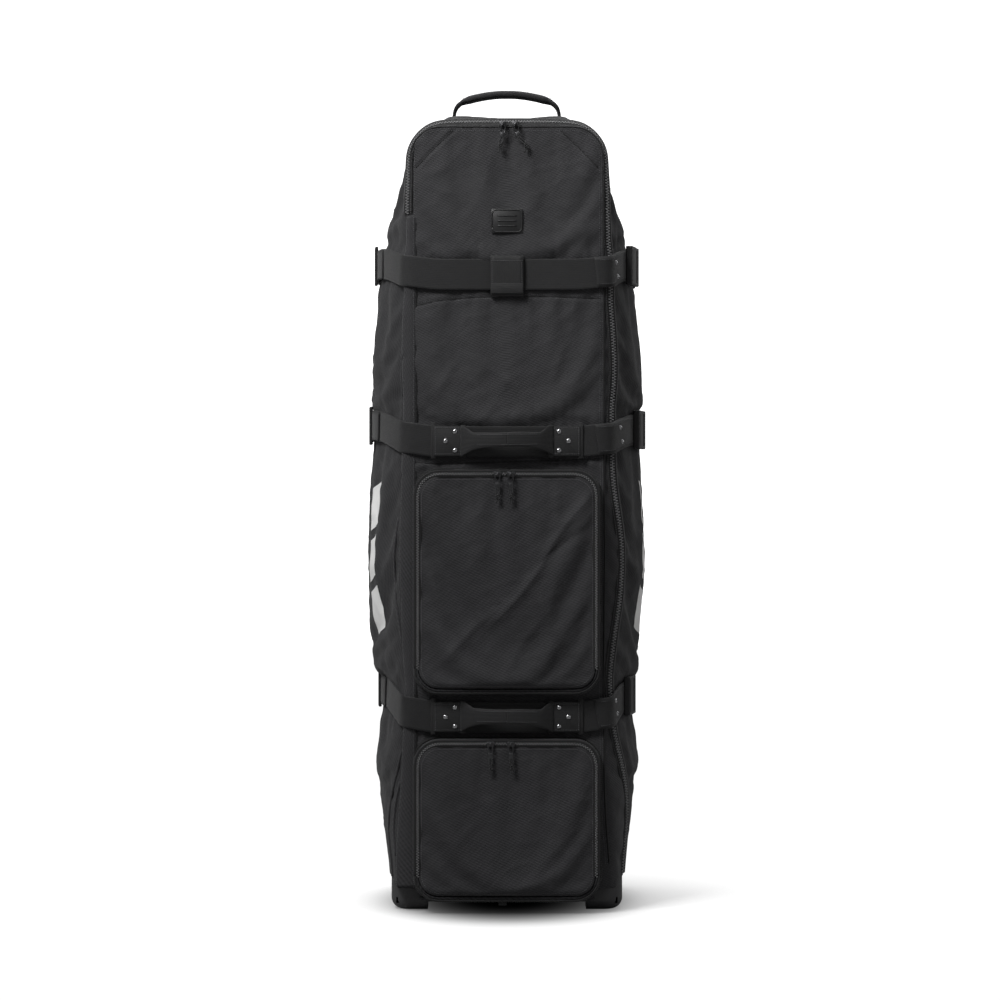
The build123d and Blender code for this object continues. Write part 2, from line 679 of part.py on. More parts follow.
def grab_handle(mid_z):
    tapered = [(-GRAB_HALF, -GRAB_END_HALF_H), (-GRIP_X, -GRIP_HALF_H),
               (GRIP_X, -GRIP_HALF_H), (GRAB_HALF, -GRAB_END_HALF_H),
               (GRAB_HALF, GRAB_END_HALF_H), (GRIP_X, GRIP_HALF_H),
               (-GRIP_X, GRIP_HALF_H), (-GRAB_HALF, GRAB_END_HALF_H)]
    back_left, back_right = (-GRAB_HALF, GRAB_BACK_Y), (GRAB_HALF, GRAB_BACK_Y)
    front_left, front_right = (-GRAB_HALF, GRAB_FRONT_Y), (GRAB_HALF, GRAB_FRONT_Y)
    with BuildPart() as grab:
        with BuildSketch(Plane.XY.offset(mid_z - GRIP_HALF_H)):
            with BuildLine():
                ThreePointArc(back_left, (0, GRAB_BACK_Y - GRAB_BOW), back_right)
                Line(back_right, front_right)
                ThreePointArc(front_right, (0, GRAB_FRONT_Y - GRAB_BOW), front_left)
                Line(front_left, back_left)
            make_face()
        extrude(amount=2 * GRIP_HALF_H)
        with BuildSketch(front_plane(REACH)):
            with Locations((0, mid_z)):
                Polygon(*tapered, align=None)
        extrude(amount=2 * REACH, mode=Mode.INTERSECT)
        # round ends that the handle turns on
        with Locations((-GRAB_HALF + 3, GRAB_PIVOT_Y, mid_z), (GRAB_HALF - 3, GRAB_PIVOT_Y, mid_z)):
            Cylinder(3.2, 6, rotation=ALONG_X)
    return grab.part


for name in HANDLE_STRAPS:
    save(grab_handle(STRAPS[name].mid_z), f"grab_handle_{name}")

# ------------------------------------------------------------------ carry handle on the crown
TOP_PIVOT_Y, TOP_PIVOT_Z = 8.0, 1269.0
ARCH_X, ARCH_RISE = 86.0, 42.0      # half span and rise of the arch
ARCH_STEPS = 40
TOP_WEB_T, TOP_WEB_W = 3.0, 26.0


def arch_outline(width):
    """Closed outline of a band of the given width along the handle's arch."""
    middle = []
    for i in range(ARCH_STEPS + 1):
        angle = pi * i / ARCH_STEPS
        across = copysign(abs(cos(angle)) ** 0.62, cos(angle))
        middle.append((ARCH_X * across, TOP_PIVOT_Z + ARCH_RISE * sin(angle) ** 0.72))
    outer, inner = [], []
    for i, (x, z) in enumerate(middle):
        x0, z0 = middle[max(i - 1, 0)]
        x1, z1 = middle[min(i + 1, ARCH_STEPS)]
        length = ((x1 - x0) ** 2 + (z1 - z0) ** 2) ** 0.5
        normal_x, normal_z = (z1 - z0) / length, -(x1 - x0) / length
        outer.append((x + normal_x * width / 2, z + normal_z * width / 2))
        inner.append((x - normal_x * width / 2, z - normal_z * width / 2))
    return outer + inner[::-1]


def arch_band(width, depth):
    with BuildPart() as band:
        with BuildSketch(front_plane(TOP_PIVOT_Y + depth / 2)):
            with BuildLine():
                Polyline(*arch_outline(width), close=True)
            make_face()
        extrude(amount=depth)
    return band.part


with BuildPart() as top_webbing:
    add(arch_band(TOP_WEB_T, TOP_WEB_W))
    # the webbing narrows towards its pivots
    with BuildSketch(Plane.YZ.offset(-200)):
        with Locations((TOP_PIVOT_Y, TOP_PIVOT_Z)):
            Polygon((-4, -6), (4, -6), (13, 15), (13, 80), (-13, 80), (-13, 15), align=None)
    extrude(amount=400, mode=Mode.INTERSECT)
    with Locations((-ARCH_X, TOP_PIVOT_Y, TOP_PIVOT_Z), (ARCH_X, TOP_PIVOT_Y, TOP_PIVOT_Z)):
        Cylinder(2.5, 8, rotation=ALONG_X)
save(top_webbing.part, "top_handle_webbing")

with BuildPart() as top_grip:
    add(arch_band(12, 30))
    with Locations((0, TOP_PIVOT_Y, 1300)):
        Box(150, 40, 60, mode=Mode.INTERSECT)
    # passage for the webbing
    add(arch_band(TOP_WEB_T + 0.3, TOP_WEB_W + 0.4), mode=Mode.SUBTRACT)
save(top_grip.part, "top_handle_grip")
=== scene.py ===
"""Tall soft-sided wheeled bag: case, hinged front door, two zipped pockets, three buckled
straps, two grab handles and a carry handle.

It stands upright on z = 0. Front is -Y, left is -X, up is +Z. Sizes are in millimetres in a
frame whose front wall is at y = -150; scene_point() turns them into scene metres.
"""
import math
import random
from collections import namedtuple

import bpy
import bmesh
import numpy as np
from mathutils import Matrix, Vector, noise
from mathutils.bvhtree import BVHTree


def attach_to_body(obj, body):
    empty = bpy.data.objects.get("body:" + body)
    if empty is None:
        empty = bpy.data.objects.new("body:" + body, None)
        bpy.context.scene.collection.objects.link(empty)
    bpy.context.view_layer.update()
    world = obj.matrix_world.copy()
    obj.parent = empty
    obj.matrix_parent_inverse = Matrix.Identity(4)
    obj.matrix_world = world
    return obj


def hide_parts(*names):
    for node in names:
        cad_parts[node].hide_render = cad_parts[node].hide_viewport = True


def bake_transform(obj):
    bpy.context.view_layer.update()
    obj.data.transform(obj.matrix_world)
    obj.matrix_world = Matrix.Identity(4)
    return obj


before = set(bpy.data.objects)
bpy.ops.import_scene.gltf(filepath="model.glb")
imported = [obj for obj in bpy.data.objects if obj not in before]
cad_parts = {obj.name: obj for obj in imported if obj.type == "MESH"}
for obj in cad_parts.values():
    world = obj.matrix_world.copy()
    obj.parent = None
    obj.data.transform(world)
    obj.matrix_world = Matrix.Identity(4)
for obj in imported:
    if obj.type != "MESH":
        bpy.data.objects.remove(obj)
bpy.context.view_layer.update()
random.seed(7)

# ------------------------------------------------------------------ driving dimensions
SHIFT_Y = -4.85                          # centres the footprint in the scene
FRONT_Y, BACK_Y = -150, 186
DEPTH = BACK_Y - FRONT_Y
BASE_Z = 20                              # lower edge of the door
FRONT_HALF, FRONT_R, FRONT_ARC_Z = 152, 46, 1194     # half width, corner radius and its centre
BACK_HALF, BACK_R, BACK_ARC_Z = 150, 70, 1110
FRONT_FLAT = FRONT_HALF - FRONT_R        # half length of the straight top edge
BACK_FLAT = BACK_HALF - BACK_R
FRONT_TOP = FRONT_ARC_Z + FRONT_R
BACK_TOP = BACK_ARC_Z + BACK_R
WALL_H = float(FRONT_ARC_Z - BASE_Z)
MID_S = 0.45                             # share of the depth where the wall is fullest

SIDE_CELLS, CORNER_CELLS, TOP_CELLS = 118, 5, 21     # mesh cells along the outline
WALL_ROWS = 32                           # mesh rows from the zip to the back edge
SHOULDER_ROWS = 6                        # mesh rows from the door's front edge to the zip

FRONT = (0, -1.0, 0)                     # normal of the front plane
X_AXIS, Z_AXIS = (1, 0, 0), (0, 0, 1)
CAST_START_Y = -320                      # rays at the front start here

# Heights where a strap crosses the left wall, front and right wall; half width of its ring
# at y = 60; y of its buckle; phase of the ripple in its webbing
Strap = namedtuple("Strap", "left_z front_z right_z half_width buckle_y phase")
STRAPS = {"top": Strap(1032, 1007, 1026, 202.0, -62.0, 0.3),
          "middle": Strap(772, 743, 764, 211.0, -40.0, 1.7),
          "lower": Strap(346, 308, 338, 196.0, -62.0, 2.9)}
HANDLE_TILT = {"middle": 1.2, "lower": -1.0}         # rise of each grab handle at its right end

# (z, half width) of the case at its fullest depth
WALL_HALF_WIDTHS = [
    (18, 185), (40, 188), (60, 189.5), (118, 198), (177, 205), (236, 209), (256, 209),
    (307, 204), (346, 204), (393, 210), (471, 213), (510, 215), (569, 220), (628, 221),
    (726, 217), (768, 213), (824, 217), (863, 217), (922, 215), (981, 209), (1029, 201),
    (1079, 193), (1118, 186), (1138, 182), (1157, 177), (1177, 169), (1197, 162), (1300, 160)]
# (z, exponent) of the side wall's curve from front to back; lower is boxier
WALL_EXPONENTS = [
    (20, 0.16), (90, 0.24), (200, 0.5), (290, 0.62), (346, 0.8), (410, 0.6), (560, 0.5),
    (700, 0.6), (768, 0.8), (850, 0.62), (940, 0.62), (1029, 0.85), (1090, 0.75), (1194, 0.78)]
# (z, distance of the main zip from the middle plane) down the right wall
ZIP_STATIONS = [
    (20, 180), (80, 186), (126, 191), (169, 188), (240, 172), (295, 161), (352, 158), (414, 166),
    (488, 178.5), (564, 181.7), (619, 175), (670, 161), (719, 152), (790, 164), (836, 169),
    (896, 167.5), (956, 161), (992, 153), (1052, 152), (1103, 157), (1163, 154), (1200, 154)]

# Sewn lines on the door: ((x, z) points, depth of the groove)
DOOR_SEAMS = [
    ([(-85.32, 1234.02), (-112.18, 1208.74), (-143.78, 1175.56)], 1.3),
    ([(86.9, 1232.44), (115.34, 1205.58), (143.78, 1175.56)], 1.3),
    ([(-150.1, 955.94), (-112.18, 965.42), (-58.46, 970.95), (-11.06, 972.53),
      (60.04, 972.53), (146.94, 969.37)], 1.4),
    ([(-150.1, 711.04), (-105.86, 707.88), (-11.06, 711.04), (83.74, 713.41),
      (146.94, 715.78)], 1.2)]
# Straight puckers on the door: start x, start z, angle in degrees, length, height
DOOR_PUCKERS = [
    (-118, 975, -60, 45, 1.3), (118, 978, -118, 50, 1.3), (60, 1180, -70, 60, 1.0),
    (-60, 880, -35, 90, 1.2), (20, 850, -150, 80, 1.0), (95, 905, -110, 70, 1.4),
    (-110, 820, 60, 60, 1.4), (-146, 700, 24, 78, 2.4), (-112, 700, 16, 60, -2.0),
    (-40, 716, -14, 58, 2.2), (18, 712, 12, 54, 2.0), (146, 702, 156, 70, 2.4),
    (108, 701, 166, 56, -2.0), (-128, 312, 70, 34, 1.6), (126, 314, 108, 34, 1.6)]

POCKET_HALF, POCKET_R = 146.5, 40.0
# Folds are (start, end, width, height) on the pocket face, points as (x, z)
Pocket = namedtuple("Pocket", "name bottom top zip_left_z zip_right_z fullness "
                              "wall_seed face_seed folds")
UPPER_POCKET = Pocket("upper", 346, 698, 368, 381, 10.5, 3, 11.3, [
    ((135, 660), (-25, 450), 8, 5.0), ((-15, 480), (-100, 395), 11, 3.4),
    ((85, 560), (60, 400), 14, 3.0), ((125, 480), (70, 380), 12, -3.0),
    ((-60, 640), (-20, 560), 12, 2.0), ((135, 610), (40, 540), 7, -3.0),
    ((-115, 560), (-95, 430), 12, 2.4), ((40, 520), (110, 400), 9, 2.4),
    ((60, 470), (0, 380), 8, 2.0)])
LOWER_POCKET = Pocket("lower", 20, 274, 60, 60, 8.5, 9, 4.1, [
    ((-110, 240), (-30, 170), 16, 1.8), ((110, 230), (60, 120), 18, 1.8),
    ((0, 80), (90, 60), 14, 1.4), ((-100, 90), (-20, 60), 16, 1.5)])

# Zip sliders: centre, and how far the cord of the pull leans towards +X
SLIDERS = {"main_left": ((-6.0, -154.0, 1244.5), -4.0),
           "main_right": ((14.0, -154.0, 1244.5), 15.0),
           "upper_left": ((-15.0, -179.5, 691.5), 0.5),
           "upper_right": ((6.0, -179.5, 691.5), 0.5),
           "lower_left": ((-26.0, -179.5, 267.5), 0.5),
           "lower_right": ((6.0, -179.5, 267.5), 2.2)}

LONG_STITCH = dict(pitch=3.4, length=2.6)
PANEL_STITCH = dict(pitch=3.3, length=2.5)


def scene_point(p):
    """Millimetres in the bag's frame to metres in the scene."""
    return Vector((p[0] / 1000.0, (p[1] + SHIFT_Y) / 1000.0, p[2] / 1000.0))


# ------------------------------------------------------------------ materials
class Graph:
    """Adds nodes to a shader tree; an input takes either a value or a socket to link."""

    def __init__(self, tree):
        self.nodes, self.links = tree.nodes, tree.links

    def feed(self, socket, value):
        if isinstance(value, bpy.types.NodeSocket):
            self.links.new(value, socket)
        else:
            socket.default_value = value

    def node(self, kind, **inputs):
        node = self.nodes.new("ShaderNode" + kind)
        for name, value in inputs.items():
            self.feed(node.inputs[name.replace("_", " ")], value)
        return node

    def wire(self, kind, *values, operation=None):
        """Node whose inputs are given by position; returns its first output."""
        node = self.nodes.new("ShaderNode" + kind)
        if operation:
            node.operation = operation
        for socket, value in zip(node.inputs, values):
            self.feed(socket, value)
        return node.outputs[0]

    def math(self, operation, *values):
        return self.wire("Math", *values, operation=operation)

    def noise(self, scale, detail, position):
        return self.node("TexNoise", Scale=scale, Detail=detail, Vector=position).outputs[0]

    def vary_roughness(self, shader, value, low, high):
        span = self.node("MapRange", To_Min=low, To_Max=high, Value=value)
        self.feed(shader.inputs["Roughness"], span.outputs[0])


def new_material(name, color, rough, metallic=0.0, specular=0.5, sheen=0.0):
    mat = bpy.data.materials.new(name)
    mat.use_nodes = True
    shader = mat.node_tree.nodes["Principled BSDF"]
    for label, value in (("Base Color", (*color, 1)), ("Roughness", rough),
                         ("Metallic", metallic), ("Specular IOR Level", specular),
                         ("Sheen Weight", sheen), ("Sheen Roughness", 0.5)):
        shader.inputs[label].default_value = value
    return mat, Graph(mat.node_tree), shader


def fabric(name, color, period, bump, rough=0.82, sheen=0.12, variation=0.10, thread=0.17,
           ribbed=False):
    """Woven cloth, twill or ribbed webbing. UV is in metres, the weave period in mm."""
    mat, graph, shader = new_material(name, color, rough, specular=0.3, sheen=sheen)
    calc = graph.math
    x, y = graph.node("SeparateXYZ", Vector=graph.node("UVMap").outputs[0]).outputs[:2]
    frequency = 2 * math.pi / (period / 1000.0)
    if ribbed:                               # ribs along the length, fine picks across it
        ribs = calc("SINE", calc("MULTIPLY", x, frequency))
        picks = calc("SINE", calc("MULTIPLY", y, frequency * 0.55))
        weave = calc("ADD", calc("MULTIPLY", ribs, 0.8), calc("MULTIPLY", picks, 0.6))
    else:
        rise = calc("ADD", calc("MULTIPLY", x, 0.45), y)
        ribs = calc("SINE", calc("MULTIPLY", rise, frequency))
        fall = calc("SUBTRACT", x, y)
        picks = calc("SINE", calc("MULTIPLY", fall, frequency * 0.5))
        weave = calc("ADD", ribs, calc("MULTIPLY", picks, 0.4))
    position = graph.node("TexCoord").outputs["Object"]
    fine = graph.noise(900.0, 2.0, position)
    soft = graph.noise(22.0, 4.0, position)
    broad = graph.noise(5.0, 3.0, position)
    height = calc("ADD", calc("MULTIPLY", weave, 0.5), calc("MULTIPLY", fine, 1.6))
    weave_bump = graph.node("Bump", Strength=bump, Distance=0.0004, Height=height)
    soft_bump = graph.node("Bump", Strength=0.22, Distance=0.004, Height=soft,
                           Normal=weave_bump.outputs[0])
    graph.feed(shader.inputs["Normal"], soft_bump.outputs[0])
    # colour: threads catch the light, broad patches vary a little
    patchy = calc("MULTIPLY", calc("SUBTRACT", soft, 0.2), thread * 3.3)
    tone = calc("MULTIPLY", weave, patchy)
    tone = calc("ADD", tone, calc("MULTIPLY", fine, 0.5))
    tone = calc("ADD", tone, calc("MULTIPLY", broad, 1.0))
    gain = graph.node("MapRange", From_Min=0.45, From_Max=1.05,
                      To_Min=1 - variation, To_Max=1 + variation, Value=tone)
    tint = graph.node("VectorMath")
    tint.operation = "SCALE"
    tint.inputs[0].default_value = color
    graph.feed(tint.inputs["Scale"], gain.outputs[0])
    graph.feed(shader.inputs["Base Color"], tint.outputs[0])
    graph.vary_roughness(shader, soft, low=rough - 0.08, high=rough + 0.08)
    return mat


def plastic(name, color, rough, grain=900.0, strength=0.12):
    """Moulded plastic: fine grain in the bump, scuffs in the roughness."""
    mat, graph, shader = new_material(name, color, rough, specular=0.45)
    position = graph.node("TexCoord").outputs["Object"]
    grains = graph.noise(grain, 3.0, position)
    scuffs = graph.noise(30.0, 6.0, position)
    bump = graph.node("Bump", Strength=strength, Distance=0.0005, Height=grains)
    graph.feed(shader.inputs["Normal"], bump.outputs[0])
    graph.vary_roughness(shader, scuffs, low=rough - 0.06, high=rough + 0.12)
    return mat


def metal(name, color, rough):
    mat, graph, shader = new_material(name, color, rough, metallic=1.0)
    mottle = graph.noise(350.0, 4.0, graph.node("TexCoord").outputs["Object"])
    graph.vary_roughness(shader, mottle, low=rough - 0.08, high=rough + 0.14)
    return mat


BODY_WEAVE = dict(period=4.0, bump=0.7, sheen=0.06, variation=0.24, thread=0.24)
SHELL = fabric("shell_cloth", (0.0295, 0.0292, 0.0312), **BODY_WEAVE)
SIDE = fabric("side_cloth", (0.0235, 0.0233, 0.0250), **BODY_WEAVE)
POCKET = fabric("pocket_cloth", (0.0240, 0.0237, 0.0257), period=4.2, bump=0.75, sheen=0.05,
                variation=0.27, thread=0.25)
LINING = fabric("lining_cloth", (0.050, 0.050, 0.054), period=2.4, bump=0.2, rough=0.7)
WEBBING = fabric("webbing", (0.0112, 0.0112, 0.0118), period=1.5, bump=0.45, rough=0.66,
                 variation=0.22, ribbed=True)
GRIP = fabric("grip_cloth", (0.016, 0.016, 0.017), period=1.6, bump=0.5, rough=0.75)
BINDING = fabric("binding_tape", (0.0085, 0.0085, 0.0090), period=2.0, bump=0.5, rough=0.75,
                 ribbed=True)
TAPE = fabric("zip_tape", (0.0075, 0.0075, 0.0080), period=1.4, bump=0.5, rough=0.75,
              ribbed=True)
THREAD = fabric("thread", (0.072, 0.072, 0.076), period=0.8, bump=0.3, rough=0.6)
FOAM_COVER = fabric("foam_cover", (0.040, 0.040, 0.043), period=3.2, bump=0.8, rough=0.8)
STRIPE = fabric("stripe_print", (0.78, 0.78, 0.77), period=3.1, bump=0.25, rough=0.55,
                variation=0.03)
CORD = fabric("cord", (0.014, 0.014, 0.015), period=1.5, bump=0.6, rough=0.75)
# zip coil: its colour is set far lighter than the tape, a painted highlight along the coil
COIL = plastic("zip_coil", (0.128, 0.128, 0.131), rough=0.30, strength=0.05)
HARD = plastic("buckle_plastic", (0.0125, 0.0125, 0.013), rough=0.34)
BASE = plastic("base_plastic", (0.044, 0.044, 0.046), rough=0.48, grain=500.0, strength=0.35)
BOARD = plastic("board_plastic", (0.045, 0.045, 0.048), rough=0.6, grain=120.0, strength=0.3)
BADGE = plastic("badge_rubber", (0.0135, 0.0135, 0.014), rough=0.40, strength=0.08)
TYRE = plastic("tyre_urethane", (0.018, 0.018, 0.019), rough=0.55, strength=0.1)
HUB = plastic("hub_plastic", (0.045, 0.045, 0.048), rough=0.4)
SLIDER_METAL = metal("slider_metal", (0.085, 0.085, 0.088), rough=0.30)
RIVET_METAL = metal("rivet_metal", (0.36, 0.36, 0.37), rough=0.22)
STEEL = metal("plated_steel", (0.40, 0.40, 0.41), rough=0.32)


def attach(obj, body, slot, *replaced):
    """Fixes a piece to a moving body and hides the CAD pieces it replaces; slot is not used."""
    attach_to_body(obj, body)
    if replaced:
        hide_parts(*replaced)


def blend_at_hinge(obj):
    """Bakes the transform of a piece between case and door at the left front corner."""
    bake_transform(obj)


# ------------------------------------------------------------------ mesh helpers
def mesh_object(name, verts, faces, mats, mat_index=None, uvs=None, smooth=True):
    mesh = bpy.data.meshes.new(name)
    mesh.from_pydata([scene_point(v) for v in verts], [], faces)
    for mat in mats:
        mesh.materials.append(mat)
    if mat_index is not None:
        mesh.polygons.foreach_set("material_index", mat_index)
    if uvs is not None:
        layer = mesh.uv_layers.new(name="UVMap")
        loops = np.zeros(len(mesh.loops), dtype=np.int32)
        mesh.loops.foreach_get("vertex_index", loops)
        layer.data.foreach_set("uv", np.asarray(uvs, dtype=np.float32)[loops].ravel())
    mesh.polygons.foreach_set("use_smooth", [smooth] * len(mesh.polygons))
    mesh.update()
    obj = bpy.data.objects.new(name, mesh)
    bpy.context.scene.collection.objects.link(obj)
    return obj


def grid_faces(rows, columns, closed=False):
    faces = []
    for i in range(rows - 1):
        for j in range(columns if closed else columns - 1):
            here, there = i * columns, (i + 1) * columns
            after = (j + 1) % columns
            faces.append((here + j, here + after, there + after, there + j))
    return faces


def tube_faces(rings, sides, flip=False):
    """Faces of a capped stack of closed rings."""
    faces = grid_faces(rings, sides, closed=True)
    faces.append(tuple(range(sides))[::-1])
    faces.append(tuple((rings - 1) * sides + k for k in range(sides)))
    return [face[::-1] for face in faces] if flip else faces


def grid_uv(grid):
    """UV in metres from the average run along rows and columns."""
    du = np.linalg.norm(np.diff(grid, axis=0), axis=2).mean(axis=1)
    dv = np.linalg.norm(np.diff(grid, axis=1), axis=2).mean(axis=0)
    u = np.concatenate([[0], np.cumsum(du)]) / 1000
    v = np.concatenate([[0], np.cumsum(dv)]) / 1000
    return np.stack(np.meshgrid(u, v, indexing="ij"), axis=2).reshape(-1, 2)


def grid_object(name, grid, mats):
    grid = np.asarray(grid, float)
    faces = grid_faces(*grid.shape[:2])
    return mesh_object(name, grid.reshape(-1, 3).tolist(), faces, mats, uvs=grid_uv(grid))


def bake(obj):
    """Replaces the mesh by the result of its modifiers."""
    depsgraph = bpy.context.evaluated_depsgraph_get()
    depsgraph.update()
    mesh = bpy.data.meshes.new_from_object(obj.evaluated_get(depsgraph),
                                           preserve_all_data_layers=True, depsgraph=depsgraph)
    mesh.name = obj.name
    obj.modifiers.clear()
    obj.data = mesh


def subdivide(obj, levels):
    mod = obj.modifiers.new("sub", "SUBSURF")
    mod.levels = mod.render_levels = levels
    mod.boundary_smooth = "PRESERVE_CORNERS"
    bake(obj)


def solidify(obj, thickness, offset=-1.0, inner=None):
    """Gives a sheet its thickness; inner is the material index of the new face."""
    mod = obj.modifiers.new("thick", "SOLIDIFY")
    mod.thickness = thickness / 1000
    mod.offset = offset
    mod.use_even_offset = False
    if inner is not None:
        mod.material_offset = inner
    bake(obj)


def get_points(obj):
    points = np.zeros(len(obj.data.vertices) * 3)
    obj.data.vertices.foreach_get("co", points)
    points = points.reshape(-1, 3) * 1000
    points[:, 1] -= SHIFT_Y
    return points


def get_normals(obj):
    obj.data.update()
    normals = np.zeros(len(obj.data.vertices) * 3)
    obj.data.vertices.foreach_get("normal", normals)
    return normals.reshape(-1, 3)


def set_points(obj, points):
    points = np.array(points, float)
    points[:, 1] += SHIFT_Y
    obj.data.vertices.foreach_set("co", (points / 1000).ravel())
    obj.data.update()


def displace(obj, amounts):
    """Moves each vertex along its normal."""
    set_points(obj, get_points(obj) + get_normals(obj) * amounts[:, None])


def orient(obj, vertex, direction):
    """Flips the faces if the normal of one vertex points against a direction."""
    if np.dot(get_normals(obj)[vertex], direction) < 0:
        obj.data.flip_normals()


def recalculate_normals(obj):
    mesh = bmesh.new()
    mesh.from_mesh(obj.data)
    bmesh.ops.recalc_face_normals(mesh, faces=mesh.faces)
    mesh.to_mesh(obj.data)
    mesh.free()


def cloth(obj, pin, frames, pressure, grow, bend, tension, gravity):
    """Runs a cloth simulation and keeps its last frame as the mesh; pin holds weights 0..1."""
    group = obj.vertex_groups.new(name="pin")
    for i, weight in enumerate(pin):
        if weight > 0:
            group.add([i], float(min(weight, 1.0)), "REPLACE")
    mod = obj.modifiers.new("cloth", "CLOTH")
    settings = mod.settings
    settings.quality = 6
    settings.mass = 0.25
    settings.air_damping = 1.5
    settings.tension_stiffness = settings.compression_stiffness = tension
    settings.tension_damping = settings.compression_damping = 6
    settings.shear_stiffness = tension * 0.4
    settings.shear_damping = 6
    settings.bending_stiffness = bend
    settings.bending_damping = 0.6
    settings.vertex_group_mass = "pin"
    settings.pin_stiffness = 1.0
    settings.shrink_min = -grow
    settings.use_pressure = True
    settings.uniform_pressure_force = pressure
    settings.effector_weights.gravity = gravity
    mod.collision_settings.use_collision = False
    mod.collision_settings.use_self_collision = False
    mod.point_cache.frame_start = 1
    mod.point_cache.frame_end = frames
    scene = bpy.context.scene
    for number in range(1, frames + 1):
        scene.frame_set(number)
    bake(obj)
    obj.vertex_groups.clear()
    scene.frame_set(1)


# ------------------------------------------------------------------ noise and creases
def noise_at(*position):
    return noise.noise(Vector(position))


def fine_noise(obj, height, scale, seed=0.0):
    displace(obj, np.array([noise_at(p[0] / scale + seed, p[1] / scale, p[2] / scale)
                            for p in get_points(obj)]) * height)


# Layers of creases: angle in radians, width, stretch along the crease, height
CREASES = ((0.9, 58.0, 2.6, 0.9), (-0.7, 44.0, 3.0, 0.6),
           (0.35, 30.0, 2.4, 0.45), (1.35, 24.0, 2.0, 0.30))


def crinkle(x, z, seed, height=1.0):
    """Irregular creases: sharp ridges of turned noise, mostly slanting."""
    out = np.zeros(len(x))
    for i in range(len(x)):
        for angle, scale, stretch, layer in CREASES:
            ca, sa = math.cos(angle), math.sin(angle)
            u, v = x[i] * ca + z[i] * sa, -x[i] * sa + z[i] * ca
            w = abs(noise_at(u / (scale * stretch), v / scale, seed + scale))
            out[i] += layer * ((1 - w * 2.6) if w < 0.3 else 0.22) - layer * 0.5
    return out * height


def smoothstep(t):
    t = np.clip(t, 0, 1)
    return t * t * (3 - 2 * t)


def fade(distance, span):
    """0 at no distance, rising straight to 1 at the span."""
    return np.clip(distance / span, 0, 1)


# ------------------------------------------------------------------ point paths
def unit(a):
    a = np.asarray(a, float)
    return a / (np.linalg.norm(a, axis=-1, keepdims=True) + 1e-12)


def resample(points, step):
    points = np.asarray(points, float)
    run = np.linalg.norm(np.diff(points, axis=0), axis=1)
    run = np.concatenate([[0], np.cumsum(run)])
    count = max(int(round(run[-1] / step)), 1)
    t = np.linspace(0, run[-1], count + 1)
    return np.stack([np.interp(t, run, points[:, k]) for k in range(points.shape[1])], axis=1)


def resample_pair(points, normals, step):
    both = resample(np.concatenate([points, normals], axis=1), step)
    return both[:, :3], unit(both[:, 3:])


def smooth_points(points, passes):
    points = np.asarray(points, float).copy()
    for _ in range(passes):
        eased = points.copy()
        eased[1:-1] = (points[:-2] + 2 * points[1:-1] + points[2:]) / 4
        points = eased
    return points


def tangents(points):
    return unit(np.gradient(np.asarray(points, float), axis=0))


def row(centre, half, count, axis=X_AXIS):
    """Evenly spaced points on a straight line through a centre."""
    return np.asarray(centre, float) + np.outer(np.linspace(-half, half, count), axis)


def signed_power(value, exponent):
    return math.copysign(abs(value) ** exponent, value)


# ------------------------------------------------------------------ casting onto surfaces
def surface_of(obj):
    verts = [Vector(p) for p in get_points(obj)]
    return BVHTree.FromPolygons(verts, [tuple(p.vertices) for p in obj.data.polygons])


def cast_front(surface, x, z):
    """Hit and normal of a ray from the front towards +Y."""
    return surface.ray_cast(Vector((x, CAST_START_Y, z)), Vector((0, 1, 0)))[:2]


def facing(normal, direction):
    """The normal, turned to face back along a ray."""
    return -normal if normal.dot(Vector(direction)) > 0 else normal


def smooth_pair(points, normals, point_passes, normal_passes):
    return (smooth_points(np.array(points), point_passes),
            unit(smooth_points(np.array(normals), normal_passes)))


def drape(surface, outline):
    """Projects (x, z) points onto the front of a surface; returns points and normals."""
    points, normals = [], []
    for x, z in outline:
        hit, normal = cast_front(surface, x, z)
        if hit is None:
            hit, normal, _, _ = surface.find_nearest(Vector((x, 0, z)))
        points.append(hit)
        normals.append(facing(normal, (0, 1, 0)))
    return smooth_pair(points, normals, 2, 3)


